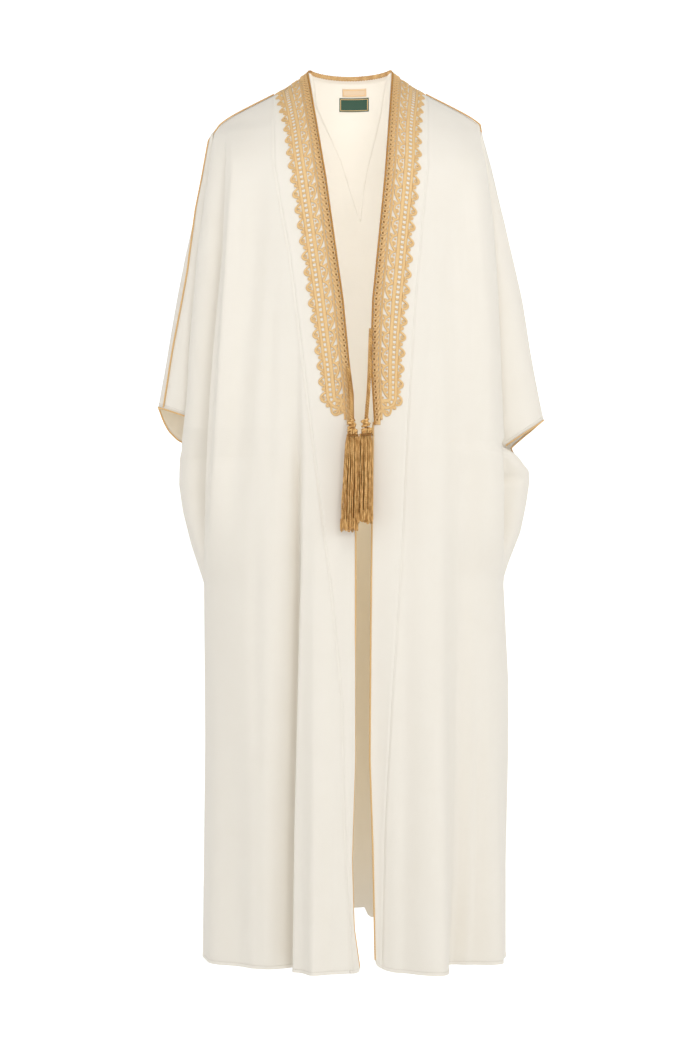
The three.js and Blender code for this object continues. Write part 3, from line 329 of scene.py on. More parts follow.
def front_surface(side, lane, down):
    """Points of a front, in metres. lane: 0 front edge, 1 slanting seam, 2 body's edge, 3 end of the curl."""
    lane, down = np.broadcast_arrays(np.asarray(lane, float), np.asarray(down, float))
    sign = SIGN[side]
    flat = np.minimum(lane, 2.0)
    turn = np.maximum(lane - 2, 0)
    top_x = np.where(flat <= 1, mix(NECK_X, GORE_TOP_X, flat), mix(GORE_TOP_X, SHOULDER_TIP_X, flat - 1))
    top_z = shoulder_z(top_x)

    def across(height):
        edge = sign * read(OUTLINE[side], "body", height) * width_share(side, height, turn)
        seam = read(GORE_SEAM[side], "x", height)
        return np.where(flat <= 1, gore_x(side, flat, height), mix(seam, edge, flat - 1))

    corner_width, corner_rise = HEM_CORNER[side]
    from_edge = np.clip(1 - np.abs(across(HEM_Z) - read(FRONT_EDGE[side], "x", HEM_Z)) / corner_width, 0, 1)
    z = height_at(top_z, HEM_Z + corner_rise * (1 - np.sqrt(1 - from_edge ** 2)), down)
    x = across(z) + (sign * top_x - across(top_z)) * (1 - down) ** 8
    ease = round_over(top_z - z, mix(ROUND_FRONT, ROUND_ARM, flat / 2))
    y = mix(shoulder_y(top_x), section_y(side, x, z, -1), ease)
    fade = 1 - smooth(flat, 1.9, 2) * (1 - curl_amount(side, z))
    depth = fold_depth(FRONT_FOLDS[side] + FINE_FRONT_FOLDS[side], np.abs(x), z)
    if side == "left":
        crease = np.exp(-(((z - CROSS_CREASE_Z) / CROSS_CREASE_HEIGHT) ** 2))
        reach = smooth(x, CROSS_CREASE_X, CROSS_CREASE_X + CROSS_CREASE_REACH)
        depth = depth + CROSS_CREASE_DEPTH * crease * reach
    x, y = sink(side, x, y, z, depth * ease * fade, -1)
    curl_x, curl_y = curl_at(side, z, turn, -1)
    return np.stack([x + np.where(turn > 0, curl_x, 0), y + np.where(turn > 0, curl_y, 0), z], -1) * MM


def back_surface(lane, down):
    """Points of the back. lane: 0 middle, 1 neck, 2 above the gore seam, 3 body's edge, 4 end of the curl."""
    lane, down = np.broadcast_arrays(np.asarray(lane, float), np.asarray(down, float))
    halves = [back_half("right", -lane, down), back_half("left", lane, down)]
    return np.where((lane < 0)[..., None], halves[0], halves[1])


def back_half(side, lane, down):
    sign = SIGN[side]
    lane = np.maximum(lane, 0)
    size = np.minimum(lane, 3.0)
    turn = np.maximum(lane - 3, 0)
    top_x = NECK_X * size
    top_x = np.where(size > 1, mix(NECK_X, GORE_TOP_X, size - 1), top_x)
    top_x = np.where(size > 2, mix(GORE_TOP_X, SHOULDER_TIP_X, size - 2), top_x)
    top_y = np.where(size < 1, neck_y(np.minimum(top_x, NECK_X)), shoulder_y(top_x))
    top_z = shoulder_z(top_x)
    share = top_x / SHOULDER_TIP_X
    step = BACK_HEM_STEP * smooth(top_x, 22, 28) if side == "left" else 0.0
    hem_z = HEM_Z + (BACK_HEM_LIFT - step) * (1 - smooth(share, 0.35, 1))
    z = height_at(top_z, hem_z, down)

    def width(height):
        return share * read(OUTLINE[side], "body", height) * width_share(side, height, turn) ** share

    x = sign * (width(z) + (top_x - width(top_z)) * (1 - down) ** 8)
    ease = round_over(top_z - z, mix(ROUND_BACK, ROUND_ARM, size / 3))
    y = mix(top_y, section_y(side, x, z, 1), ease)
    fade = 1 - smooth(size, 2.9, 3) * (1 - curl_amount(side, z))
    x, y = sink(side, x, y, z, fold_depth(BACK_FOLDS + FINE_BACK_FOLDS, x, z) * ease * fade, 1)
    curl_x, curl_y = curl_at(side, z, turn, 1)
    return np.stack([x + np.where(turn > 0, curl_x, 0), y + np.where(turn > 0, curl_y, 0), z], -1) * MM


def sleeve_surface(side, lane, down):
    """Points of a sleeve. lane: 0 at the front seam, 0.5 outside, 1 at the back seam."""
    lane, down = np.broadcast_arrays(np.asarray(lane, float), np.asarray(down, float))
    sign, outline = SIGN[side], OUTLINE[side]
    front_z, outer_z, back_z = CUFF_Z[side]
    outward = np.clip(np.cos((lane - 0.5) * math.pi), 0, 1) ** 0.8
    in_front, behind = mix(front_z, outer_z, outward), mix(back_z, outer_z, outward ** CUFF_DROP[side])
    z = mix(SHOULDER_TIP_Z - SLEEVE_TOP, np.where(lane < 0.5, in_front, behind), down)
    ease = round_over(SHOULDER_TIP_Z - z, ROUND_ARM)

    def edge(facing):
        curl_x, curl_y = curl_at(side, z, 1.0, facing)
        edge_y = mix(SHOULDER_TIP_Y, read(outline, "front" if facing < 0 else "back", z), ease)
        outside = sign * SLEEVE_PROUD * (1 - curl_amount(side, z))
        return sign * read(outline, "body", z) + curl_x + outside, edge_y + curl_y - facing * SLEEVE_TUCK

    (front_x, front_y), (back_x, back_y) = edge(-1), edge(1)
    turn = (lane - 0.5) * math.pi
    inner = mix(front_x, back_x, lane)
    x = inner + (sign * read(outline, "sleeve", z) - inner) * outward
    y = mix(front_y, back_y, 0.5 + 0.5 * np.sin(turn))
    wave = np.sin(lane * SLEEVE_CREASE_TURNS + z / SLEEVE_CREASE_HEIGHT)
    crease = SLEEVE_CREASE * wave * np.sin(math.pi * np.clip(down, 0, 1)) * np.sin(math.pi * lane)
    return np.stack([x - sign * np.abs(crease), y, z], -1) * MM


def normals_of(points, outward):
    """Unit normals of a grid of points; outward turns them to the outer side."""
    return unit(np.cross(np.gradient(points, axis=1), np.gradient(points, axis=0)) * outward)


# ---- meshes ----


def new_object(name, vertices, faces, uvs=None):
    mesh = bpy.data.meshes.new(name)
    mesh.from_pydata([tuple(v) for v in np.asarray(vertices).tolist()], [], [tuple(f) for f in faces])
    if uvs is not None:
        layer = mesh.uv_layers.new(name="UVMap")
        loops = np.empty(len(mesh.loops), np.int32)
        mesh.loops.foreach_get("vertex_index", loops)
        layer.data.foreach_set("uv", np.asarray(uvs, np.float32)[loops].ravel())
    mesh.validate()
    mesh.shade_smooth()
    thing = bpy.data.objects.new(name, mesh)
    bpy.context.scene.collection.objects.link(thing)
    return thing


def grid_faces(rows, columns, flip=False):
    a = (np.arange(rows - 1)[:, None] * columns + np.arange(columns - 1)[None, :]).ravel()
    quads = np.stack([a, a + 1, a + columns + 1, a + columns], -1)
    return quads[:, ::-1] if flip else quads


def cloth_piece(name, points, outward, thickness):
    """A thin shell of cloth between a grid of points and the same grid moved in by its thickness."""
    rows, columns = points.shape[:2]
    normals = normals_of(points, outward)
    inner = points - normals * thickness
    count = rows * columns
    outer_faces = grid_faces(rows, columns, flip=outward < 0)
    inner_faces = grid_faces(rows, columns, flip=outward > 0) + count
    ring = np.concatenate([
        np.arange(columns), np.arange(1, rows) * columns + columns - 1,
        (rows - 1) * columns + np.arange(columns - 2, -1, -1), np.arange(rows - 2, 0, -1) * columns,
    ])
    after = np.roll(ring, -1)
    rim = np.stack([ring, ring + count, after + count, after], -1)
    if outward < 0:
        rim = rim[:, ::-1]
    uv = np.stack(np.meshgrid(run_of(points[rows // 2]), run_of(points[:, columns // 2])), -1).reshape(-1, 2)
    faces = np.concatenate([outer_faces, inner_faces, rim])
    vertices = np.concatenate([points.reshape(-1, 3), inner.reshape(-1, 3)])
    return new_object(name, vertices, faces, np.tile(uv, (2, 1)))


class Strands:
    """Gathers tubes and blobs, and makes one joined mesh of them."""

    def __init__(self):
        self.vertices, self.faces, self.uvs, self.count = [], [], [], 0

    def tube(self, path, up, width, depth=None, sides=6, taper=None):
        """A tube along path; up is the direction, at each point, that its depth lies in."""
        path, up = np.asarray(path, float), np.broadcast_to(np.asarray(up, float), np.shape(path))
        depth = width if depth is None else depth
        out, across = axes_along(path, up)
        angles = np.arange(sides) * 2 * math.pi / sides
        size = np.ones(len(path)) if taper is None else np.asarray(taper, float)
        rings = (
            path[:, None, :]
            + across[:, None, :] * (np.cos(angles) * width / 2)[None, :, None] * size[:, None, None]
            + out[:, None, :] * (np.sin(angles) * depth / 2)[None, :, None] * size[:, None, None]
        )
        steps = len(path)
        length = run_of(path)
        uv = np.stack(np.broadcast_arrays(length[:, None], (angles / (2 * math.pi))[None, :]), -1)
        first = self.count
        self._add(rings.reshape(-1, 3), uv.reshape(-1, 2))
        k = np.arange(sides)
        for i in range(steps - 1):
            a, b = first + i * sides + k, first + i * sides + (k + 1) % sides
            self.faces.append(np.stack([a, b, b + sides, a + sides], -1))
        ends = self.count
        self._add(np.stack([path[0], path[-1]]), np.array([[0.0, 0.5], [length[-1], 0.5]]))
        last = first + (steps - 1) * sides
        start_fan = np.stack([np.full(sides, ends), first + (k + 1) % sides, first + k], -1)
        end_fan = np.stack([np.full(sides, ends + 1), last + k, last + (k + 1) % sides], -1)
        self.faces.extend([start_fan, end_fan])

    def blob(self, centre, axes, rings=5, sides=8):
        """An ellipsoid with the three half-axes given as vectors."""
        centre = np.asarray(centre, float)
        a, b, c = (np.asarray(axis, float) for axis in axes)
        rise = np.linspace(-math.pi / 2, math.pi / 2, rings + 2)
        turn = np.arange(sides) * 2 * math.pi / sides
        points, uv = [centre - c], [(0.0, 0.0)]
        for height in rise[1:-1]:
            for angle in turn:
                flat = math.cos(height)
                round_it = a * flat * math.cos(angle) + b * flat * math.sin(angle)
                points.append(centre + round_it + c * math.sin(height))
                uv.append((angle / 300, height / 6))
        points.append(centre + c)
        uv.append((0.0, 1.0))
        first = self.count
        self._add(np.array(points), np.array(uv))
        k = np.arange(sides)
        low, high = first + 1 + k, first + 1 + (k + 1) % sides
        self.faces.append(np.stack([np.full(sides, first), high, low], -1))
        for step in np.arange(rings - 1) * sides:
            a, b = low + step, high + step
            self.faces.append(np.stack([a, b, b + sides, a + sides], -1))
        top, last = self.count - 1, (rings - 1) * sides
        self.faces.append(np.stack([np.full(sides, top), low + last, high + last], -1))

    def _add(self, vertices, uv):
        self.vertices.append(vertices)
        self.uvs.append(uv)
        self.count += len(vertices)

    def build(self, name):
        faces = [face for block in self.faces for face in block.tolist()]
        thing = new_object(name, np.concatenate(self.vertices), faces, np.concatenate(self.uvs))
        tidy = bmesh.new()
        tidy.from_mesh(thing.data)
        bmesh.ops.recalc_face_normals(tidy, faces=tidy.faces)
        tidy.to_mesh(thing.data)
        tidy.free()
        return thing


def plies(strands, path, up, radius, ply_count, pitch, sides=5, step=1.0, fullness=1.0):
    """A twisted cord: plies that wind round a path. radius, pitch and step are in millimetres."""
    path, up = np.asarray(path, float), np.broadcast_to(np.asarray(up, float), np.shape(path))
    run = run_of(path)
    count = max(4, int(run[-1] / (step * MM)))
    at = np.linspace(0, run[-1], count)
    middle, facing = sampled(path, run, at), sampled(up, run, at)
    out, across = axes_along(middle, facing)
    orbit = 1 / math.sin(math.pi / ply_count)
    ply = radius * MM / (1 + orbit)
    for k in range(ply_count):
        turn = at / (pitch * MM) * 2 * math.pi + k * 2 * math.pi / ply_count
        reach = radius * MM - ply
        line = middle + (across * np.cos(turn)[:, None] + out * np.sin(turn)[:, None]) * reach
        strands.tube(line, facing, 2 * ply * fullness, sides=sides)


def finished(thing, slot_name, *nodes):
    """Rides on the frame and stands for the frame's own nodes; the slot it is given is not used."""
    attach(thing, BODY)
    if nodes:
        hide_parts(*nodes)
    return thing


# ---- finishes ----


class Wire:
    """A shader socket on which sums are written as Python expressions."""

    def __init__(self, tree, socket):
        self.tree, self.socket = tree, socket

    def _math(self, operation, first, second):
        node = self.tree.nodes.new("ShaderNodeMath")
        node.operation = operation
        for i, value in enumerate((first, second)):
            if isinstance(value, Wire):
                self.tree.links.new(value.socket, node.inputs[i])
            else:
                node.inputs[i].default_value = value
        return Wire(self.tree, node.outputs[0])

    def __add__(self, other):
        return self._math("ADD", self, other)

    __radd__ = __add__

    def __sub__(self, other):
        return self._math("SUBTRACT", self, other)

    def __rsub__(self, other):
        return self._math("SUBTRACT", other, self)

    def __mul__(self, other):
        return self._math("MULTIPLY", self, other)

    __rmul__ = __mul__


class Finish:
    """A material under construction."""

    def __init__(self, name):
        self.material = bpy.data.materials.new(name)
        self.material.use_nodes = True
        self.tree = self.material.node_tree
        self.tree.nodes.clear()
        self.shader = self.node("ShaderNodeBsdfPrincipled")
        output = self.node("ShaderNodeOutputMaterial")
        self.tree.links.new(self.shader.outputs[0], output.inputs["Surface"])

    def node(self, kind, settings=None, inputs=None):
        """A node of this kind. Its settings are set first, then its sockets, by name or by number."""
        node = self.tree.nodes.new(kind)
        for key, value in (settings or {}).items():
            setattr(node, key, value)
        for key, value in (inputs or {}).items():
            self.put(node, key, value)
        return node

    def put(self, node, key, value):
        socket = node.inputs[key]
        if isinstance(value, Wire):
            self.tree.links.new(value.socket, socket)
        else:
            socket.default_value = value

    def wire(self, node, output=0):
        return Wire(self.tree, node.outputs[output])

    def coordinates(self, kind):
        """The object's own places, or its UV map's, in metres."""
        return self.wire(self.node("ShaderNodeTexCoord"), kind)

    def shade(self, **values):
        for key, value in values.items():
            self.put(self.shader, key.replace("_", " "), value)

    def noise(self, scale, detail, vector):
        inputs = {"Scale": scale, "Detail": detail, "Vector": vector}
        return self.wire(self.node("ShaderNodeTexNoise", inputs=inputs), "Fac")

    def blend(self, mask, first, second):
        """Mixes two colours: the first where the mask is 0."""
        node = self.node("ShaderNodeMix", {"data_type": "RGBA"}, {0: mask, 6: first, 7: second})
        return self.wire(node, 2)

    def bump(self, height, strength, distance):
        inputs = {"Height": height, "Strength": strength, "Distance": distance}
        self.shade(Normal=self.wire(self.node("ShaderNodeBump", inputs=inputs)))


WAVE_SCALE = 0.314159  # a wave texture's scale for bands one metre apart
WARP_PITCH, WEFT_PITCH = 0.0009, 0.0011


def thread_lines(finish, coordinates, pitch, direction, distortion):
    """Bands at a pitch in metres, from 0 to 1, across one direction of the coordinates."""
    inputs = {"Vector": coordinates, "Scale": WAVE_SCALE / pitch, "Distortion": distortion}
    return finish.wire(finish.node("ShaderNodeTexWave", {"bands_direction": direction}, inputs), "Fac")


def wool(name, light, deep):
    finish = Finish(name)
    where, cloth = finish.coordinates("Object"), finish.coordinates("UV")
    warp = thread_lines(finish, cloth, WARP_PITCH, "X", 0.6)
    weft = thread_lines(finish, cloth, WEFT_PITCH, "Y", 0.6)
    crepe = finish.noise(900.0, 3.0, where)
    slub = finish.noise(26.0, 3.0, where)
    # The mask: the wool's own random tone from slub and crepe, and painted light on the thread tops with
    # painted shade between the threads.
    mask = slub * 0.35 + crepe * 0.2 + (warp * weft) * 0.25
    finish.shade(
        Base_Color=finish.blend(mask, deep, light),
        Roughness=0.86, Sheen_Weight=0.18, Sheen_Roughness=0.5,
    )
    finish.bump(warp * 0.35 + weft * 0.35 + crepe * 0.6 + slub * 0.4, 0.22, 0.0006)
    return finish.material


def gold_thread(name, light, deep, pitch, metal, rough, strength=0.5, shine_and_shade=(60.0, 0.25)):
    """Threads laid side by side: fine lines across the trim, with painted light on top and painted shade
    between.

    The last argument gives the scale of the long patches of painted highlight and painted shade, and their
    share in the colour.
    """
    finish = Finish(name)
    where, along = finish.coordinates("Object"), finish.coordinates("UV")
    lines = thread_lines(finish, along, pitch, "X", 1.2)
    # Painted glints in the colour; the same noise also varies the roughness and the bump.
    glint = finish.noise(1400.0, 2.0, where)
    shine_and_shade_scale, shine_and_shade_share = shine_and_shade
    # Long patches of painted highlight and painted shade, stretched along z.
    stretched = finish.node("ShaderNodeMapping", inputs={"Vector": where, "Scale": (1.0, 1.0, 0.3)})
    shine_and_shade_patch = finish.noise(shine_and_shade_scale, 2.0, finish.wire(stretched))
    # The colour's mask: painted light and shade across the threads, painted glints, and the patches of
    # painted highlight and shade.
    mask = lines * 0.5 + glint * 0.45 + (shine_and_shade_patch - 0.5) * shine_and_shade_share
    finish.shade(
        Base_Color=finish.blend(mask, deep, light), Metallic=metal, Roughness=rough + 0.25 * glint,
    )
    finish.bump(lines * 0.7 + glint * 0.5, strength, 0.0004)
    return finish.material


def plain_pale(name, colour, glow):
    finish = Finish(name)
    grain = finish.noise(3.0, 2.0, finish.coordinates("Object"))
    edge = tuple(c * 0.985 for c in colour[:3]) + (1.0,)
    finish.shade(Base_Color=finish.blend(grain, edge, colour), Roughness=0.9, Emission_Color=colour)
    finish.shader.inputs["Emission Strength"].default_value = glow
    return finish.material


# ---- what a user may change ----


def length_setting(name, description, default, low):
    return bpy.props.FloatProperty(
        name=name, description=description, default=default, unit="LENGTH", min=low)


def power_setting(name, description, default):
    return bpy.props.FloatProperty(name=name, description=description, default=default, unit="POWER")


def strength_setting(name, description, default):
    return bpy.props.FloatProperty(name=name, description=description, default=default, min=0.0)


def colour_setting(name, description, red, green, blue):
    return bpy.props.FloatVectorProperty(
        name=name, description=description, default=(red, green, blue, 1.0), size=4, subtype="COLOR",
        min=0.0, max=1.0)


class ClothSettings(bpy.types.PropertyGroup):
    thickness: length_setting("Cloth thickness", "Thickness of the wool", 1.1 * MM, 0.0003)
    # The wool's lit colour and its painted shade between the threads; the wool's own random tone mixes them
    # too.
    light: colour_setting("Lit colour", "Wool where the light falls", 0.93, 0.892, 0.82)
    deep: colour_setting("Deep colour", "Wool between its threads", 0.885, 0.83, 0.735)


class TrimSettings(bpy.types.PropertyGroup):
    piping: length_setting("Piping", "Radius of the gold piping", 1.7 * MM, 0.0003)
    cord: length_setting("Tie cord", "Diameter of the tie cords", 7.4 * MM, 0.001)
    gold_light: colour_setting("Gold thread", "Embroidery thread where it shines", 0.97, 0.70, 0.35)
    gold_deep: colour_setting("Gold shade", "Embroidery thread between its stitches", 0.80, 0.51, 0.23)
    braid_light: colour_setting("Edging", "Edge cords where they shine", 0.84, 0.47, 0.14)
    braid_deep: colour_setting("Edging shade", "Cords between their strands", 0.42, 0.19, 0.04)


class StageSettings(bpy.types.PropertyGroup):
    camera_distance: length_setting("Camera distance", "From the middle of the cloak", 4.0, 1.0)
    camera_height: length_setting("Camera height", "In the cloak's own frame", -0.747, -10.0)
    view_height: length_setting("View height", "Height of the picture at the cloak", 1.7325, 0.1)
    key: power_setting("Key", "Power of the front light", 17.0)
    fill: power_setting("Fill", "Power of the side light", 20.0)
    top: power_setting("Top", "Power of the light above", 38.0)
    inside: power_setting("Inside", "Power of the soft light that lifts the shade in the neck", 0.30)
    sky: strength_setting("Sky", "Strength of the light all round", 0.2)
    paper_glow: strength_setting("Paper glow", "Light that the backdrop adds", 0.6)


def settings(name):
    return getattr(bpy.context.scene, "cloak_" + name)


FINISHES = {}
# The tassel yarn's painted highlight and painted shade; the highlight colour serves the cords and knots too.
TASSEL_LIGHT, TASSEL_DEEP = (1.0, 0.64, 0.25, 1.0), (0.58, 0.28, 0.07, 1.0)
# Each label's satin colour and its painted shade between the threads.
LABEL_TAN, LABEL_TAN_DEEP = (0.86, 0.68, 0.48, 1.0), (0.74, 0.54, 0.36, 1.0)
LABEL_GREEN, LABEL_GREEN_DEEP = (0.03, 0.10, 0.06, 1.0), (0.012, 0.05, 0.03, 1.0)


def finish_for(key):
    """Makes each finish once."""
    if key in FINISHES:
        return FINISHES[key]
    cloth, trim = settings("cloth"), settings("trim")
    light, deep = tuple(cloth.light), tuple(cloth.deep)
    gold, gold_deep = tuple(trim.gold_light), tuple(trim.gold_deep)
    braid, braid_deep = tuple(trim.braid_light), tuple(trim.braid_deep)
    shade = tuple(0.5 * c for c in braid_deep[:3]) + (1.0,)
    stitch_shade = tuple(0.8 * c for c in deep[:3]) + (1.0,)

    def thread(*look):
        return lambda: gold_thread(*look)

    makers = {
        "wool": lambda: wool("cream wool", light, deep),
        "stitch": lambda: wool("cream sewing thread", deep, stitch_shade),
        "embroidery": thread("gold embroidery", gold, gold_deep, 0.0007, 0.15, 0.45),
        "braid": thread("gold braid", gold, gold_deep, 0.0009, 0.2, 0.38),
        # Painted shade: the dark finish of the shade dots, cores and tubes in the braid, cords and tassels.
        "ground": thread("shaded gold ground", braid_deep, shade, 0.0009, 0.1, 0.6),
        "braid_ground": thread("braid ground", gold, gold_deep, 0.0009, 0.0, 0.6),
        "edge": thread("dark gold edging", braid, braid_deep, 0.0008, 0.25, 0.36),
        # Rope, cords, knots and tassel thread: long patches of painted highlight and painted shade, strongest
        # on knots and tassels.
        "rope": thread("neck rope", gold, braid_deep, 0.0009, 0.2, 0.4, 0.5, (90.0, 1.2)),
        "cord": thread("gold cord", TASSEL_LIGHT, braid_deep, 0.0008, 0.2, 0.26, 0.6, (150.0, 2.4)),
        "piping": thread("gold piping", gold, gold_deep, 0.0008, 0.2, 0.42),
        "knot": thread("knotted cord", TASSEL_LIGHT, braid_deep, 0.0008, 0.3, 0.22, 0.6, (260.0, 4.0)),
        "tassel": thread("tassel thread", TASSEL_LIGHT, TASSEL_DEEP, 0.0007, 0.0, 0.4, 0.7, (330.0, 4.2)),
        "label_tan": thread("tan label satin", LABEL_TAN, LABEL_TAN_DEEP, 0.0006, 0.0, 0.5, 0.2),
        "label_green": thread("green label satin", LABEL_GREEN, LABEL_GREEN_DEEP, 0.0006, 0.0, 0.5, 0.2),
    }
    FINISHES[key] = makers[key]()
    return FINISHES[key]


def wear(thing, key):
    thing.data.materials.append(finish_for(key))
    return thing


# ---- places on the fronts ----

BAND_WIDTH = 57.0
BAND_TOP_LANE, BAND_TOP_REACH = 0.96, 160.0
GOLD_LIFT = 0.35 * MM
NUDGE = 0.004  # a small step of lane and of down, to read a slope from


class Band:
    """The embroidered band of one front. u runs outwards from the front edge and w down it, in mm."""

    def __init__(self, side):
        self.side = side
        self.downs = np.linspace(0, 0.72, 500)
        middle = front_surface(side, 0.45 * BAND_LANE, self.downs)
        self.lengths = run_of(middle) / MM
        self.end = float(np.interp(BAND_END_Z, middle[::-1, 2] / MM, self.lengths[::-1]))

    def place(self, u, w, lift=0.0):
        """Points and outward normals. lift is how far they stand off the cloth, in millimetres."""
        u, w = np.broadcast_arrays(np.asarray(u, float), np.asarray(w, float))
        lane = u / BAND_WIDTH * mix(BAND_TOP_LANE, BAND_LANE, smooth(w, 0, BAND_TOP_REACH))
        down = np.interp(w, self.lengths, self.downs)

        def at(lane, down):
            return front_surface(self.side, lane, down)

        here = at(lane, down)
        across = at(lane + NUDGE, down) - at(lane - NUDGE, down)
        along = at(lane, down + NUDGE) - at(lane, np.maximum(down - NUDGE, 0))
        normal = unit(np.cross(across, along) * -SIGN[self.side])
        return here + normal * (GOLD_LIFT + np.asarray(lift)[..., None] * MM), normal


# The band's lines all turn inwards round its lower outer corner.
CORNER_U = 26.0
FLAT_LINE_U = 16.0


def along_line(band, line_u, s, out=0.0):
    """u and w at a distance s along a line of the band and a distance out from it, round the corner."""
    s, out = np.broadcast_arrays(np.asarray(s, float), np.asarray(out, float))
    corner_w = band.end - (BAND_WIDTH - CORNER_U)
    radius = max(line_u - CORNER_U, 0.001)
    turn = np.clip((s - corner_w) / radius, 0, math.pi / 2)
    beyond = np.clip(s - corner_w - radius * math.pi / 2, 0, None)
    before = np.minimum(s, corner_w)
    u = CORNER_U + (radius + out) * np.cos(turn) - beyond
    w = before + (radius + out) * np.sin(turn)
    return u, w


def line_length(band, line_u):
    corner_w = band.end - (BAND_WIDTH - CORNER_U)
    return corner_w + (line_u - CORNER_U) * math.pi / 2 + CORNER_U - FLAT_LINE_U


def lay_tube(strands, band, u, w, width, depth=None, lift=None, sides=6, taper=None):
    """Lays a tube on the band along points (u, w). All in millimetres."""
    depth = width * 0.8 if depth is None else depth
    lift = depth * 0.35 if lift is None else lift
    path, normal = band.place(u, w, lift)
    strands.tube(path, normal, width * MM, depth * MM, sides=sides, taper=taper)


def lay_knob(strands, band, u, w, radius, height):
    """A small padded knob of satin stitch."""
    centre, normal = band.place(u, w, height * 0.3)
    beside, _ = band.place(u + 0.5, w, height * 0.3)
    across = unit(beside - centre)
    along = np.cross(normal, across)
    strands.blob(centre, (across * radius * MM, along * radius * MM, normal * height * MM))


SOLID_LINES = ((33.2, 6.4), (43.9, 5.2))
FLAT_LINES = ((15.0, 1.9), (16.9, 1.9))
LADDER_U, LADDER_WIDTH, LADDER_PITCH = 38.7, 4.8, 8.1
# The width and depth of each kind of stroke.
VINE_THREAD, VINE_CURL_THREAD = (3.9, 1.6), (2.3, 1.5)
SCALLOP_THREAD, SCALLOP_CURL_THREAD, SCALLOP_STALK_THREAD = (3.5, 1.6), (2.4, 1.4), (2.4, 1.2)
RUNG_THREAD, FAN_THREAD = (3.7, 1.1), (2.6, 1.2)
EYELET_THREAD, STRAND_THREAD, SHADE_THREAD = (2.1, 2.2), (1.9, 1.9), (0.9, 0.9)

# The short stitches that fan out below the band's inner lines: how many, where they end, and their spacing.
FAN_COUNT, FAN_OUTER_U, FAN_STEP_U, FAN_START, FAN_STEP = 5, 31.0, 1.3, 7.0, 5.2

# The eyelets of the braid: their pitch, their middles and half sizes, and where the slanting strands start.
LOOP_PITCH, LOOP_START = 8.6, 8.4
EYELET_U, EYELET_HALF_U, EYELET_HALF_W = 6.4, 2.75, 3.0
STRAND_U = (13.2, 9.0)
SECOND_STRAND_U = (13.4, 9.6)
SHADE_U, SHADE_SLANT = (8.6, 12.6), 1.5

# The scroll, as (down the band, inwards from the edge of the inner solid line), in millimetres.
VINE_U, VINE_PITCH = 30.0, 26.0
VINE_STROKE = (
    (-14, 0.2), (-12.6, 3.4), (-9.6, 7.0), (-5.0, 9.4), (0, 9.2), (4.6, 7.0), (8.6, 4.0), (12, 0.6),
)
# Curls, knobs and leaves are (down, sideways, radius).
VINE_CURL = (0.2, 4.6, 2.4)
VINE_KNOBS = ((-11.6, 8.7, 2.9), (-7.0, 2.9, 1.9), (7.2, 2.4, 1.7), (12.4, 10.4, 1.6), (-5.8, 11.0, 1.3))

# The scallops, as (down the band, outwards from the edge of the outer solid line).
SCALLOP_U, SCALLOP_PITCH = 46.2, 25.8
SCALLOP_STROKE = ((-8.0, 0.2), (-5.8, 4.4), (-2.8, 8.4), (0.8, 10.0), (4.2, 8.4), (6.4, 4.8), (6.9, 0.6))
SCALLOP_CURL, SCALLOP_KNOB = (1.0, 5.0, 2.2), (12.4, 3.9, 3.0)
SCALLOP_LEAVES = ((9.4, 1.5, 1.8), (15.4, 1.5, 1.8))


def lay_vine(strands, band):
    """A running scroll: each stroke leaves the inner line, swings across, winds a curl and comes back."""
    stop = band.end - (BAND_WIDTH - CORNER_U) + 12
    stroke = smooth_line(VINE_STROKE, 26)
    angle = np.linspace(-0.6, 1.75 * math.pi, 20)
    for top in np.arange(16.0, stop, VINE_PITCH):
        lay_tube(strands, band, VINE_U - stroke[:, 1], top + stroke[:, 0], *VINE_THREAD)
        down, inward, radius = VINE_CURL
        curl_u = VINE_U - inward - radius * np.cos(angle)
        lay_tube(strands, band, curl_u, top + down + radius * np.sin(angle), *VINE_CURL_THREAD)
        lay_knob(strands, band, VINE_U - inward, top + down, 1.4, 1.2)
        for down, inward, radius in VINE_KNOBS:
            lay_knob(strands, band, VINE_U - inward, top + down, radius, 1.3)


def lay_scallops(strands, band):
    """The outer edge: open scallops with a curl inside, and small knobs between them."""
    stroke = smooth_line(SCALLOP_STROKE, 24)
    angle = np.linspace(-0.4, 1.7 * math.pi, 18)
    for middle in np.arange(10.0, line_length(band, SCALLOP_U), SCALLOP_PITCH):
        u, w = along_line(band, SCALLOP_U, middle + stroke[:, 0], stroke[:, 1])
        lay_tube(strands, band, u, w, *SCALLOP_THREAD)
        down, out, radius = SCALLOP_CURL
        curl_w, curl_out = middle + down + radius * np.sin(angle), out + radius * np.cos(angle)
        lay_tube(strands, band, *along_line(band, SCALLOP_U, curl_w, curl_out), *SCALLOP_CURL_THREAD)
        for down, out, radius in (*SCALLOP_LEAVES, SCALLOP_KNOB):
            u, w = along_line(band, SCALLOP_U, middle + down, out)
            lay_knob(strands, band, float(u), float(w), radius, 1.4)
        u, w = along_line(band, SCALLOP_U, np.full(5, middle + down), np.linspace(0, out, 5))
        lay_tube(strands, band, u, w, *SCALLOP_STALK_THREAD)


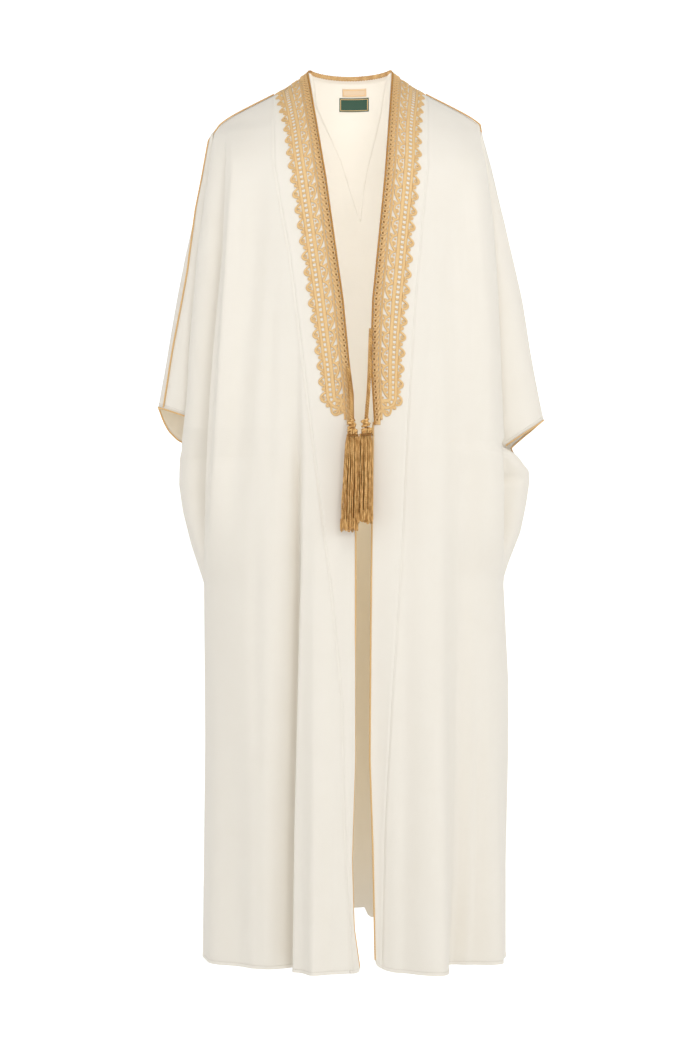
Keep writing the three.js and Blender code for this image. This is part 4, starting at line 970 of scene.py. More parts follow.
def lay_band(side):
    """The embroidered band of one front, from the shoulder seam to its rounded lower corner."""
    band, strands = Band(side), Strands()
    for line_u, width in SOLID_LINES:
        s = np.linspace(0.5, line_length(band, line_u), 320)
        u, w = along_line(band, line_u, s)
        lay_tube(strands, band, u, w, width, 1.3, lift=0.15, sides=8)
    for line_u, width in FLAT_LINES:
        w = np.linspace(0.5, band.end + 6, 260)
        lay_tube(strands, band, np.full_like(w, line_u), w, width, 1.3, lift=0.4, sides=6)
    rung = np.linspace(-LADDER_WIDTH / 2, LADDER_WIDTH / 2, 4)
    for k in range(int(line_length(band, LADDER_U) / LADDER_PITCH)):
        u, w = along_line(band, LADDER_U, np.full(4, (k + 0.5) * LADDER_PITCH), rung)
        lay_tube(strands, band, u, w, *RUNG_THREAD, lift=0.1)
    lay_vine(strands, band)
    lay_scallops(strands, band)
    turn = np.linspace(0, 1, 12)
    for k in range(FAN_COUNT):
        u = mix(FLAT_LINE_U + 1.5, FAN_OUTER_U - FAN_STEP_U * k, turn)
        w = band.end - FAN_START - FAN_STEP * k + 4.5 * np.sin(turn * math.pi * 0.6)
        lay_tube(strands, band, u, w, *FAN_THREAD, taper=1 - 0.35 * turn)
    return wear(strands.build(f"gold_band_{side}"), "embroidery")


def braid_length(band):
    """How far down the front the braid runs: to just above the knots."""
    return band.end + 14.0


def lay_braid(side):
    """The raised braid beside the front edge: a row of eyelets with slanting strands behind them."""
    band, strands = Band(side), Strands()
    tail, second = np.linspace(0, 1, 6, endpoint=False), np.linspace(0, 1, 7)
    angle = mix(-math.pi * 0.2, math.pi * 1.6, np.linspace(0, 1, 16))
    for at in np.arange(LOOP_START, braid_length(band), LOOP_PITCH):
        u = np.r_[mix(*STRAND_U, tail), EYELET_U + EYELET_HALF_U * np.cos(angle)]
        w = np.r_[at - mix(7.6, 1.2, tail), at + EYELET_HALF_W * np.sin(angle)]
        lay_tube(strands, band, u, w, *EYELET_THREAD, lift=1.7)
        u, w = mix(*SECOND_STRAND_U, second), at + 1.0 - mix(6.6, 0.2, second)
        lay_tube(strands, band, u, w, *STRAND_THREAD, lift=1.5)
    return wear(strands.build(f"eyelet_braid_{side}"), "braid")


def lay_braid_ground(side):
    """The shaded strip that shows through the eyelets."""
    band, strands = Band(side), Strands()
    w = np.linspace(0.5, braid_length(band), 300)
    middle_u, width = 8.4, 8.4
    lay_tube(strands, band, np.full_like(w, middle_u), w, width, 1.6, lift=0.2, sides=8)
    return wear(strands.build(f"braid_ground_{side}"), "braid_ground")


def lay_braid_painted_shade(side):
    """Painted shade: dark dots for the pinholes in the middle of the eyelets, and dark strands for the shade
    between the slanting strands.
    """
    band, strands = Band(side), Strands()
    across_u = np.linspace(*SHADE_U, 5)
    for at in np.arange(LOOP_START, braid_length(band), LOOP_PITCH):
        centre, normal = band.place(EYELET_U, at, 1.3)
        along = np.cross(normal, np.array([1.0, 0.0, 0.0]))
        across = np.cross(along, normal)
        strands.blob(centre, (across * 1.25 * MM, along * 1.4 * MM, normal * 0.5 * MM))
        w = at + 2.6 - (across_u - SHADE_U[0]) * SHADE_SLANT
        lay_tube(strands, band, across_u, w, *SHADE_THREAD, lift=1.2)
    return wear(strands.build(f"braid_painted_shade_{side}"), "ground")


def lay_edge_cord(side):
    """The twisted cord along the very edge of a front."""
    band, strands = Band(side), Strands()
    w = np.linspace(0.3, braid_length(band), 400)
    path, normal = band.place(np.full_like(w, 1.5), w, 1.2)
    plies(strands, path, normal, 1.75, 3, 9.0)
    return wear(strands.build(f"edge_cord_{side}"), "edge")


# ---- pipings ----
TURNS_UNDER_Z = (860, 1010)  # how far down the right front's edge starts, and ends, to turn under
PIPING_PITCH = 5.2


def lay_piping(strands, path, up):
    """Two plies of gold cord along a path."""
    plies(strands, path, up, settings("trim").piping / MM, 2, PIPING_PITCH)


def front_piping(side):
    """The thin gold edge of a front, from under the tassels to the hem. The right one turns under below."""
    strands = Strands()
    downs = np.linspace(0.594, 0.9985, 400)
    path = front_surface(side, 0.0, downs)
    inward = unit(front_surface(side, 0.06, downs) - path)
    normal = unit(np.cross(inward, np.gradient(path, axis=0)) * -SIGN[side])
    under = smooth(-path[:, 2] / MM, *TURNS_UNDER_Z)[:, None] * (1.0 if side == "right" else 0.0)
    path = path - inward * (1.0 - 1.9 * under) * MM - normal * (0.3 + 1.9 * under) * MM
    lay_piping(strands, path, normal)
    return wear(strands.build(f"front_edge_piping_{side}"), "piping")


def sleeve_grid(side):
    downs = np.linspace(0, 1, SLEEVE_ROWS)
    downs = 0.8 * downs + 0.2 * downs ** 2
    return sleeve_surface(side, np.linspace(0, 1, SLEEVE_COLUMNS)[None, :], downs[:, None])


def shoulder_piping(side):
    """Piping along the shoulder seam and on down the top of the arm."""
    strands = Strands()
    seam = front_surface(side, np.linspace(1.0, 2.0, 60), 0.0)
    seam[:, 1] = shoulder_y(seam[:, 0] / MM) * MM
    tip = smooth(np.linspace(0, 1, 60), 0.6, 1)[:, None]
    up = unit(mix(UPWARD, np.array([SIGN[side] * 0.75, 0.0, 0.65]), tip))
    seam = seam + up * 1.7 * MM
    downs = np.linspace(0.03, 0.997, 160)
    lanes = np.interp(downs, ARM_SEAM_DOWN, ARM_SEAM_LANE[side])
    arm = sleeve_surface(side, lanes, downs)
    across = sleeve_surface(side, lanes + 0.01, downs) - sleeve_surface(side, lanes - 0.01, downs)
    out = unit(np.cross(across, np.gradient(arm, axis=0)) * -SIGN[side])
    lay_piping(strands, np.concatenate([seam, arm + out * 1.2 * MM]), np.concatenate([up, out]))
    return wear(strands.build(f"arm_seam_piping_{side}"), "piping")


def cuff_piping(side):
    strands = Strands()
    lanes = np.linspace(0.02, 0.98, 140)
    path = sleeve_surface(side, lanes, 1.0)
    along = np.gradient(path, axis=0)
    out = unit(np.cross(along, path - sleeve_surface(side, lanes, 0.99)) * -SIGN[side])
    below = unit(np.cross(out, along) * -SIGN[side])
    below = below * -np.sign(below[:, 2:])
    lay_piping(strands, path - out * 0.5 * MM + below * 1.3 * MM, out)
    return wear(strands.build(f"cuff_edge_piping_{side}"), "piping")


# Each cord's place behind and above the neck edge, its radius, plies and pitch.
NECK_CORDS = ((-0.4, 2.4, 4.1, 3, 14.0), (-4.4, 0.6, 1.6, 3, 8.0), (3.4, 0.2, 1.3, 2, 5.0))


def neck_braid_back():
    """Three cords side by side round the back of the neck."""
    strands = Strands()
    lanes = np.linspace(-0.985, 0.985, 200)
    edge = back_surface(lanes, 0.0)
    for back, rise, radius, ply_count, pitch in NECK_CORDS:
        plies(strands, edge + np.array([0, back, rise]) * MM, UPWARD, radius, ply_count, pitch, sides=8)
    return wear(strands.build("back_neck_cord"), "rope")


# ---- cords, knots and tassels ----
HANG_Y = -171.0
CORD_PITCH, BAR_PITCH = 12.6, 15.0
CORD_POINTS = {
    "right": ((-3, -158.1, -497), (-1.5, -160.2, -512), (0, -163, -530), (1.2, -165, -550), (2, -166.5, -568),
              (2.5, -167.5, -581)),
    "left": ((33, -155.5, -436), (32.2, -157.8, -455), (31.4, -160.8, -480), (30.4, -164, -510),
             (28.8, -166, -540), (27.0, -167, -562), (25.6, -167.5, -579)),
}
KNOT = {
    "right": {"x": 2.5, "bar_x": 4.0, "bar_z": -599.5, "bar": 18.0, "bar_sag": -1.6,
              "tassel_x": 4.2, "end_x": -1.4, "top": -605.3, "end": -757.0, "seed": 5},
    "left": {"x": 24.6, "bar_x": 27.0, "bar_z": -598.5, "bar": 20.0, "bar_sag": 1.4,
             "tassel_x": 24.2, "end_x": 22.4, "top": -604.3, "end": -745.0, "seed": 8},
}


def smooth_line(points, count):
    """A rounded line through the given points."""
    points = np.array(points, float)
    ends = np.concatenate([[2 * points[0] - points[1]], points, [2 * points[-1] - points[-2]]])
    spots = np.linspace(0, len(points) - 1, count)
    i = np.minimum(spots.astype(int), len(points) - 2)
    t = (spots - i)[:, None]
    a, b, c, d = ends[i], ends[i + 1], ends[i + 2], ends[i + 3]
    square, cube = 2 * a - 5 * b + 4 * c - d, 3 * b - a - 3 * c + d
    return 0.5 * (2 * b + (c - a) * t + square * t ** 2 + cube * t ** 3)


def cord_line(side):
    return smooth_line(CORD_POINTS[side], 90) * MM


def tie_cord(side, diameter):
    """A loose twisted cord from the front's edge down to its knot. Returns it with its middle line."""
    path, strands = cord_line(side), Strands()
    plies(strands, path, FORWARD, diameter / 2 / MM, 3, CORD_PITCH, sides=8, step=0.8, fullness=0.76)
    return wear(strands.build(f"tie_cord_{side}"), "cord"), path


def cord_core(side, diameter):
    """The shaded middle of a tie cord, seen between its plies."""
    strands = Strands()
    strands.tube(cord_line(side), FORWARD, 0.66 * diameter, sides=8)
    return wear(strands.build(f"tie_cord_core_{side}"), "ground")


ONE_TURN = np.linspace(0, 2 * math.pi, 25)
# The knot's own half sizes, and its turns of cord: how high, how wide and how tilted each one is.
KNOT_HALF_SIZES, KNOT_CORD_RADIUS = (5.0, 4.6, 6.6), 1.9
KNOT_TURNS = ((4.4, 4.2, 1.2), (0.4, 6.0, -1.5), (-4.4, 5.2, 1.3))
KNOT_ABOVE_BAR = 6.2
# The bar's lengths of cord: how far back and how high each lies, and its radius.
BAR_LENGTHS = ((-5.0, 1.9, 3.0), (-4.0, -2.7, 2.5), (1.0, 0.4, 2.9))
BAR_TURNS_X, BAR_TURN_HALF_Y, BAR_TURN_HALF_Z = (-1.6, 1.8), 6.4, 5.0


def wound_knot(side):
    """The round knot above the bar: a ball of cord with its turns."""
    spec, strands = KNOT[side], Strands()
    middle_z = 0.5 * (CORD_POINTS[side][-1][2] + spec["bar_z"] + KNOT_ABOVE_BAR)
    strands.blob(np.array([spec["x"], HANG_Y, middle_z]) * MM, np.diag(KNOT_HALF_SIZES) * MM, 7, 12)
    up = np.stack([np.cos(ONE_TURN), np.sin(ONE_TURN), 0 * ONE_TURN], -1)
    for rise, half, tilt in KNOT_TURNS:
        x, y = spec["x"] + half * up[:, 0], HANG_Y + half * 0.9 * up[:, 1]
        path = np.stack([x, y, middle_z + rise + tilt * up[:, 0]], -1) * MM
        strands.tube(path, up, 2 * KNOT_CORD_RADIUS * MM, sides=8)
    return wear(strands.build(f"round_knot_{side}"), "knot")


def bar_knot(side):
    """The bar across the top of the tassel: three lengths of cord side by side, with two turns round them."""
    spec, strands = KNOT[side], Strands()
    half = spec["bar"] / 2
    x = np.linspace(-half + 1.4, half - 1.4, 40)
    sag = spec["bar_sag"] * np.sin(x / half * 1.3) * 0.6
    for y, z, radius in BAR_LENGTHS:
        path = np.stack([spec["bar_x"] + x, np.full_like(x, HANG_Y + 0.5 + y), spec["bar_z"] + z + sag], -1)
        plies(strands, path * MM, FORWARD, radius, 3, BAR_PITCH, sides=8, step=0.8)
    cosine, sine = np.cos(ONE_TURN), np.sin(ONE_TURN)
    up = np.stack([0 * ONE_TURN, sine, cosine], -1)
    for at in BAR_TURNS_X:
        x, y = spec["bar_x"] + at + 0.6 * cosine, HANG_Y - 1.6 + BAR_TURN_HALF_Y * sine
        path = np.stack([x, y, spec["bar_z"] + BAR_TURN_HALF_Z * cosine], -1) * MM
        strands.tube(path, up, 2.4 * MM, sides=8)
    return wear(strands.build(f"bar_of_cord_{side}"), "knot")


# The rings of loops, from the outside in: the radius under the bar and the radius at the foot.
TASSEL_RINGS = ((10.0, 12.8), (6.0, 8.4))
TASSEL_LOOPS = 22
YARN_RADIUS, YARN_PITCH = 1.3, 5.0
LOOP_WIDTH, LOOP_DROP, LOOP_RETURN = 1.7, 2.4, 12.0


def tassel(side):
    """Loops of two-ply yarn that hang from under the bar and spread out."""
    spec, strands = KNOT[side], Strands()
    chance = random.Random(spec["seed"])
    t, foot, back = np.linspace(0, 1, 60), np.linspace(0, 1, 9)[1:], np.linspace(0, 1, 6)[1:]
    # Each loop follows its strand to the foot and holds there, while it turns and starts back up.
    hold = np.r_[np.arange(60), np.full(len(foot) + len(back), 59)]
    aside = np.r_[0 * t, LOOP_WIDTH * (1 - np.cos(foot * math.pi)), 2 * LOOP_WIDTH - back]
    fall = np.r_[0 * t, -LOOP_DROP * np.sin(foot * math.pi), LOOP_RETURN * back]
    open_out = np.sin(np.clip(t * 1.15, 0, 1) * math.pi / 2) ** 1.2
    flatten = mix(0.45, 0.8, smooth(t, 0, 0.3))
    for ring, (root, spread) in enumerate(TASSEL_RINGS):
        count = TASSEL_LOOPS if ring == 0 else TASSEL_LOOPS // 2 + 1
        radius = mix(root * 0.85, root, smooth(t, 0, 0.1)) + (spread - root) * open_out
        for k in range(count):
            angle = 2 * math.pi * (k + 0.4 * chance.random()) / count
            wobble = [chance.uniform(-1, 1) for _ in range(4)]
            turn = angle + 0.16 * t * (1 - 2 * ring) + 0.05 * wobble[0] * np.sin(t * 9 + wobble[1] * 3)
            reach = radius + 0.8 * wobble[2] * np.sin(t * 14 + wobble[3] * 6) * t
            x = mix(spec["tassel_x"], spec["end_x"], t) + np.cos(turn) * reach
            y = HANG_Y + 1 + np.sin(turn) * reach * flatten
            z = mix(spec["top"] + 1.5, spec["end"] + chance.uniform(1.5, 9.0) + 2 * ring, t)
            out = np.array([math.cos(angle + 1.57), math.sin(angle + 1.57) * 0.8])
            path = np.stack([x[hold] + out[0] * aside, y[hold] + out[1] * aside, z[hold] + fall], -1) * MM
            up = np.array([math.cos(angle), math.sin(angle), 0.15])
            plies(strands, path, up, YARN_RADIUS, 2, YARN_PITCH + 1.0 * chance.random(), sides=5, step=1.25)
    return wear(strands.build(f"tassel_thread_{side}"), "tassel")


HEART_WIDTH, HEART_DEPTH = 19.0 * MM, 11.0 * MM
# The painted shadow below and above the bar, laid as dark tubes: how far down and forward each lies, its
# radius and its share of the bar.
BAR_SHADOW_TUBES = ((6.3, 6.6, 1.3, 1.0), (-5.2, 3.0, 1.1, 0.45))


def tassel_heart(side):
    """The painted shade inside a tassel, seen between its loops, and dark tubes of painted shadow below and
    above its bar.
    """
    spec, strands = KNOT[side], Strands()
    t = np.linspace(0, 1, 14)
    x, z = mix(spec["tassel_x"], spec["end_x"], t), mix(spec["top"] - 1.2, spec["end"] + 14, t)
    path = np.stack([x, np.full(14, HANG_Y + 1.0), z], -1) * MM
    taper = 0.62 + 0.38 * np.sin(t * math.pi / 2)
    strands.tube(path, FORWARD, HEART_WIDTH, HEART_DEPTH, sides=12, taper=taper)
    across = (spec["bar"] / 2 - 0.6) * np.linspace(-1, 1, 9)
    for down, forward, radius, share in BAR_SHADOW_TUBES:
        y, z = np.full(9, HANG_Y - forward), np.full(9, spec["bar_z"] - down)
        path = np.stack([spec["bar_x"] + across * share, y, z], -1) * MM
        strands.tube(path, FORWARD, 2 * radius * MM, sides=8)
    return wear(strands.build(f"tassel_heart_{side}"), "ground")


# ---- cloth ----


HEM_TURN = 5.4  # the height of the hems' sewing above their edges
HEM_STANDS_OUT, HEM_GROOVE, HEM_GROOVE_WIDTH = 0.5, 0.35, 0.9
EDGE_TUCK = 0.02  # how far a gore's first points move in, as a share of the way to the next
SEAM_DIP, SEAM_DIP_WIDTH, SEAM_RIDGE, SEAM_RIDGE_AT, SEAM_RIDGE_WIDTH = 0.6, 1.6, 0.2, 4.2, 2.2


def hem_relief(points):
    """How far a panel's hem stands out: thick below its sewing, with a groove along it. In millimetres."""
    height = (points[..., 2] - points[-1:, :, 2]) / MM
    turned = HEM_STANDS_OUT * (1 - smooth(height, HEM_TURN - 1.2, HEM_TURN + 1.4))
    return turned - HEM_GROOVE * np.exp(-((height - HEM_TURN) / HEM_GROOVE_WIDTH) ** 2)


def near_seam(lanes):
    """Lanes with extra ones close to the slanting seam, at lane 1."""
    close = np.array([0.0, 0.004, 0.009, 0.015, 0.024, 0.036, 0.052])
    extra = np.r_[1.0 - close, 1.0 + close]
    low, high = lanes.min(), lanes.max()
    return np.unique(np.round(np.r_[lanes, extra[(extra >= low) & (extra <= high)]], 5))


def closer_to_edge(first, count):
    """Lanes from first to the next whole one, closer together towards the body's edge."""
    share = np.linspace(0, 1, count)
    return first + np.sin(share * math.pi / 2) * 0.6 + share * 0.4


# Rows of points at these heights above the hem, in millimetres, and extra rows and lanes at narrow creases.
HEM_ROWS = np.array([14, 12, 10, 8.5, 7.5, 7, 6.5, 6, 5.4, 4.8, 4.2, 3.5, 2.5, 1.5, 0.8, 0.3, 0])
LOWER_SCALE = 2165  # the millimetres that a whole step of down stands for below the chest
CREASE_ROWS = np.r_[np.linspace(0.602, 0.622, 6), np.linspace(0.628, 0.648, 10)]
CREASE_LANES = {"right": np.r_[np.linspace(1.76, 1.88, 26), np.linspace(1.14, 1.42, 40)], "left": np.zeros(0)}
PANEL_DOWNS = np.unique(np.round(np.r_[
    np.linspace(0, 0.12, 26), np.linspace(0.12, 0.6, 62), np.linspace(0.6, 0.985, 70),
    CREASE_ROWS, 1 - HEM_ROWS / LOWER_SCALE,
], 6))


def front_panel(side, which, thickness):
    """A gore or a side panel of a front, with a dip along the slanting seam and a turned hem."""
    if which == "gore":
        lanes = near_seam(np.linspace(0, 1, 36))
    else:
        lanes = near_seam(closer_to_edge(1, 88))
        lanes = np.unique(np.round(np.r_[lanes, CREASE_LANES[side], np.linspace(2, 3, 13)], 4))
    points = front_surface(side, lanes[None, :], PANEL_DOWNS[:, None])
    if which == "gore":
        points[:, 0] += (points[:, 1] - points[:, 0]) * EDGE_TUCK
    normals = normals_of(points, -SIGN[side])
    seam = front_surface(side, 1.0, PANEL_DOWNS)[:, None, :]
    away = np.linalg.norm(points - seam, axis=-1) / MM
    dip = SEAM_DIP * np.exp(-((away / SEAM_DIP_WIDTH) ** 2))
    ridge = SEAM_RIDGE * np.exp(-(((away - SEAM_RIDGE_AT) / SEAM_RIDGE_WIDTH) ** 2))
    points = points + normals * ((hem_relief(points) - dip + ridge) * MM)[..., None]
    return wear(cloth_piece(f"{which}_{side}", points, -SIGN[side], thickness), "wool")


def back_panel(thickness):
    half = np.r_[np.linspace(0, 1, 14), np.linspace(1, 2, 11), closer_to_edge(2, 22), np.linspace(3, 4, 9)]
    lanes = np.unique(np.round(np.r_[-half, half], 5))
    points = back_surface(lanes[None, :], PANEL_DOWNS[:, None])
    points = points + normals_of(points, 1.0) * (hem_relief(points) * MM)[..., None]
    return wear(cloth_piece("back_panel", points, 1.0, thickness), "wool")


def arm_panel(side, thickness):
    return wear(cloth_piece(f"sleeve_cloth_{side}", sleeve_grid(side), -SIGN[side], thickness), "wool")


# ---- inside the back ----
# Steps to find a lane by its x, and the small steps to read a slope from.
LANE_STEPS, LANE_NUDGE, DOWN_NUDGE = 14, 0.02, 0.003


def back_at(x, z, inward):
    """Points a distance inside the back's outer face, at x and z, all in millimetres."""
    x, z = np.broadcast_arrays(np.asarray(x, float), np.asarray(z, float))
    down = z / CHEST_END_Z * UPPER_SHARE
    lane = x / NECK_X
    for _ in range(LANE_STEPS):
        lane = lane - (back_surface(lane, down)[..., 0] / MM - x) / NECK_X * 0.8
    here = back_surface(lane, down)
    across = back_surface(lane + LANE_NUDGE, down) - back_surface(lane - LANE_NUDGE, down)
    along = back_surface(lane, down + DOWN_NUDGE) - back_surface(lane, np.maximum(down - DOWN_NUDGE, 0))
    normal = unit(np.cross(across, along))
    return here - normal * (np.asarray(inward) * MM)[..., None], normal


FACING_THICKNESS, LABEL_INSET = 0.5 * MM, 2
# Each label's reach across, its top and foot, and its finish.
LABELS = {
    "label_upper": ((-13.0, 28.0), (-13.0, -26.0), "label_tan"),
    "label_lower": ((-18.0, 32.0), (-28.0, -50.0), "label_green"),
}


def neck_label(name, thickness):
    """A bare woven label with a plain raised edge."""
    (x0, x1), (z0, z1), finish = LABELS[name]
    across, downward = np.meshgrid(np.linspace(x0, x1, 40), np.linspace(z0, z1, 24))
    edge = np.minimum(np.minimum(across - x0, x1 - across), np.minimum(z0 - downward, downward - z1))
    rise = 1.45 + 0.25 * np.exp(-(((edge - 1.8) / 0.5) ** 2))
    points, _ = back_at(across, downward, thickness + rise)
    return wear(cloth_piece(f"{name}_satin", points, -1.0, FACING_THICKNESS), finish)


def label_border(name, thickness):
    """The stitched line just inside a label's edge."""
    (x0, x1), (z0, z1), _ = LABELS[name]
    strands, t = Strands(), np.linspace(0, 1, 14)
    left, right, top, foot = x0 + LABEL_INSET, x1 - LABEL_INSET, z0 - LABEL_INSET, z1 + LABEL_INSET
    corners = [(left, top), (right, top), (right, foot), (left, foot), (left, top)]
    for (ax, az), (bx, bz) in zip(corners, corners[1:]):
        path, normal = back_at(mix(ax, bx, t), mix(az, bz, t), thickness + 1.7)
        strands.tube(path, -normal, 1.1 * MM, 0.5 * MM, sides=6)
    return wear(strands.build(f"{name}_border"), "embroidery")


# The two slanting edges of the facing, as (x, z).
YOKE_LEFT = ((-62.0, -3.0), (-57.6, -46.7), (-38.0, -84.0), (-15.3, -129.8), (2.0, -185.0), (17.0, -231.0))
YOKE_RIGHT = ((62.0, -3.0), (52.0, -60.0), (40.0, -105.0), (29.0, -146.0), (22.0, -187.0), (17.8, -231.0))
YOKE_TOP_Z, YOKE_FOOT_Z = -3.0, -229.0


def neck_facing(thickness):
    """The pointed facing inside the back of the neck, sewn down along both slanting edges."""
    z = mix(YOKE_TOP_Z, YOKE_FOOT_Z, np.linspace(0, 1, 40))
    left, right = (
        np.interp(-z, [-p[1] for p in line], [p[0] for p in line]) for line in (YOKE_LEFT, YOKE_RIGHT)
    )
    across = np.linspace(0, 1, 40)[None, :]
    x = left[:, None] * (1 - across) + right[:, None] * across
    points, _ = back_at(x, np.broadcast_to(z[:, None], x.shape), thickness + 0.55)
    return wear(cloth_piece("neck_facing", points, -1.0, FACING_THICKNESS), "wool")


def neck_facing_sewing(thickness):
    """The facing's folded edges, which stand a little proud, with their stitches."""
    strands = Strands()
    for line in (YOKE_LEFT, YOKE_RIGHT):
        points = np.array(line)
        corner, t = np.arange(len(points)), np.linspace(0, len(points) - 1, 90)
        x, z = (np.interp(t, corner, points[:, i]) for i in (0, 1))
        path, normal = back_at(x, z, thickness + 0.2 + 0.1)
        strands.tube(path, -normal, 1.2 * MM, 0.8 * MM, sides=6)
        for k in range(4, 86, 2):
            raised = path[k:k + 2] - normal[k:k + 2] * 0.4 * MM
            strands.tube(raised, -normal[k:k + 2], 0.6 * MM, 0.4 * MM, sides=4)
    return wear(strands.build("neck_facing_sewing"), "wool")


# ---- sewing ----


def stitches(strands, path, normal, stitch=2.6, gap=1.1, width=0.7):
    """A row of sewing stitches along a path. Sizes are in millimetres."""
    run = run_of(path) / MM
    for start in np.arange(1.0, run[-1] - stitch, stitch + gap):
        at = start + np.linspace(0, stitch, 3)
        strands.tube(sampled(path, run, at), sampled(normal, run, at), width * MM, width * 0.7 * MM, sides=4)


def sew_hem(strands, low, high, outward):
    """Stitches above a lower edge, where low is the edge and high is a line a little above it."""
    upward = unit(high - low)
    normal = unit(np.cross(np.gradient(low, axis=0), -upward) * outward)
    stitches(strands, low + upward * HEM_TURN * MM + normal * 0.25 * MM, normal)


def hem_sewing():
    """The stitches of the hems and cuffs."""
    strands = Strands()
    edge, above = 1.0, 0.99
    hem, arm = np.r_[np.linspace(0.02, 1, 60), np.linspace(1, 2, 160)[1:]], np.linspace(0.03, 0.97, 120)
    for side in SIDES:
        for surface, lanes in ((front_surface, hem), (sleeve_surface, arm)):
            sew_hem(strands, surface(side, lanes, edge), surface(side, lanes, above), -SIGN[side])
    lanes = np.linspace(-2.97, 2.97, 500)
    sew_hem(strands, back_surface(lanes, edge), back_surface(lanes, above), 1.0)
    return wear(strands.build("hem_sewing"), "stitch")


def seam_sewing():
    """Small stitches beside the slanting seams."""
    strands, downs = Strands(), np.linspace(0.01, 0.998, 700)
    for side in SIDES:
        here = front_surface(side, 1.0, downs)
        beside = unit(front_surface(side, 1.02, downs) - here)
        normal = unit(np.cross(beside, np.gradient(here, axis=0)) * -SIGN[side])
        stitches(strands, here + beside * 3.2 * MM + normal * 0.3 * MM, normal, 2.4, 1.2, 0.55)
    return wear(strands.build("seam_sewing"), "wool")


CUT_DOWNS = np.linspace(0, 1, 160)[:, None]
LEAST_CUT_SHARE = 0.3


def cut_of(points):
    """Width, length and area of a grid of cloth laid flat, in metres."""
    across = np.linalg.norm(np.diff(points, axis=1), axis=-1).sum(1)
    along = np.linalg.norm(np.diff(points, axis=0), axis=-1).sum(0)
    cells = np.cross(points[1:, :-1] - points[:-1, :-1], points[:-1, 1:] - points[:-1, :-1])
    area = np.linalg.norm(cells, axis=-1).sum()
    width, length = float(across.max()), float(along.max())
    return (width, length), float(min(max(area, LEAST_CUT_SHARE * width * length), width * length))


def hang(thing, points):
    """Works out the flat cut of a cloth piece, and hands the piece back unchanged."""
    flat, area = cut_of(points)
    return thing


# ---- the studio ----

FLOOR_Z, WALL_RADIUS, WALL_BEND, WALL_TOP = -2.6, 7.4, 3.0, 4.0
SENSOR_WIDTH = 36.0
WHITE, WARM = (1.0, 1.0, 1.0), (1.0, 0.81, 0.52)
SKY_COLOUR, PAPER_COLOUR = (1.0, 0.99, 0.97, 1.0), (0.95, 0.95, 0.945, 1.0)
MIDDLE = (0.0, 0.0, -0.75)

# Each paper's name, its reach round the cloak in degrees, and its share of the paper's glow.
PAPERS = (
    ("floor", 0, 360, 0.15),
    ("backdrop", 30, 150, 1.0),
    ("paper all round", 150, 390, 0.4),
)

# Each lamp: its name, place and aim, width and height, the setting of its power and its share, its colour.
LAMPS = (
    ("key", (1.3, -4.0, 0.5), MIDDLE, 1.0, 1.0, "key", 1.0, WHITE),
    ("fill", (3.6, -2.2, 0.4), MIDDLE, 1.8, 1.8, "fill", 1.0, WHITE),
    ("fill from the other side", (-3.2, -2.4, 0.4), MIDDLE, 2.4, 2.4, "fill", 0.6, WHITE),
    ("top", (0.0, -2.0, 2.4), MIDDLE, 2.4, 2.4, "top", 1.0, WHITE),
    ("inside the chest", (0.01, -0.03, -0.31), (0.01, 1.0, -0.31), 0.1, 0.6, "inside", 1.0, WHITE),
    ("inside the skirt", (0.02, -0.03, -1.0), (0.02, 1.0, -1.0), 0.1, 0.8, "inside", 0.85, WARM),
    ("inside the sleeve", (-0.29, -0.02, -0.56), (-0.31, 0.2, -0.62), 0.03, 0.06, "inside", 0.025, WARM),
)


def wall_line():
    """The paper's line from the floor up, as (distance from the middle, height) in metres."""
    turns = np.linspace(0, math.pi / 2, 12)
    inner = WALL_RADIUS - WALL_BEND
    curve = [(inner + WALL_BEND * math.sin(a), FLOOR_Z + WALL_BEND * (1 - math.cos(a))) for a in turns]
    return curve + [(WALL_RADIUS, WALL_TOP)]


def set_camera(scene, look):
    camera = bpy.data.cameras.new("camera")
    camera.sensor_width = SENSOR_WIDTH
    camera.lens = SENSOR_WIDTH * look.camera_distance / look.view_height
    seat = bpy.data.objects.new("camera", camera)
    seat.location = (0.0, -look.camera_distance, look.camera_height)
    seat.rotation_euler = (math.pi / 2, 0.0, 0.0)
    scene.collection.objects.link(seat)
    scene.camera = seat


def hang_paper(name, low, high, glow):
    """The floor's disc, or a stretch of the wall, between two turns in degrees."""
    line = [(0.0, FLOOR_Z), (WALL_RADIUS - WALL_BEND, FLOOR_Z)] if name == "floor" else wall_line()
    turns = np.radians(np.linspace(low, high, max(12, (high - low) // 5)))[None, :]
    reach, height = (np.array(column)[:, None] for column in zip(*line))
    points = np.stack(np.broadcast_arrays(reach * np.cos(turns), reach * np.sin(turns), height), -1)
    paper = new_object(name, points.reshape(-1, 3), grid_faces(*points.shape[:2]))
    paper.data.materials.append(plain_pale(f"pale paper {name}", PAPER_COLOUR, glow))


def set_lamp(scene, look, name, place, aim, width, height, setting, share, colour):
    light = bpy.data.lights.new(name, "AREA")
    light.shape, light.size, light.size_y = "RECTANGLE", width, height
    light.energy, light.color = share * getattr(look, setting), colour
    lamp = bpy.data.objects.new(name, light)
    lamp.location = place
    lamp.rotation_euler = (Vector(aim) - Vector(place)).to_track_quat("-Z", "Y").to_euler()
    lamp.visible_camera = False
    scene.collection.objects.link(lamp)


# ---- the operators ----


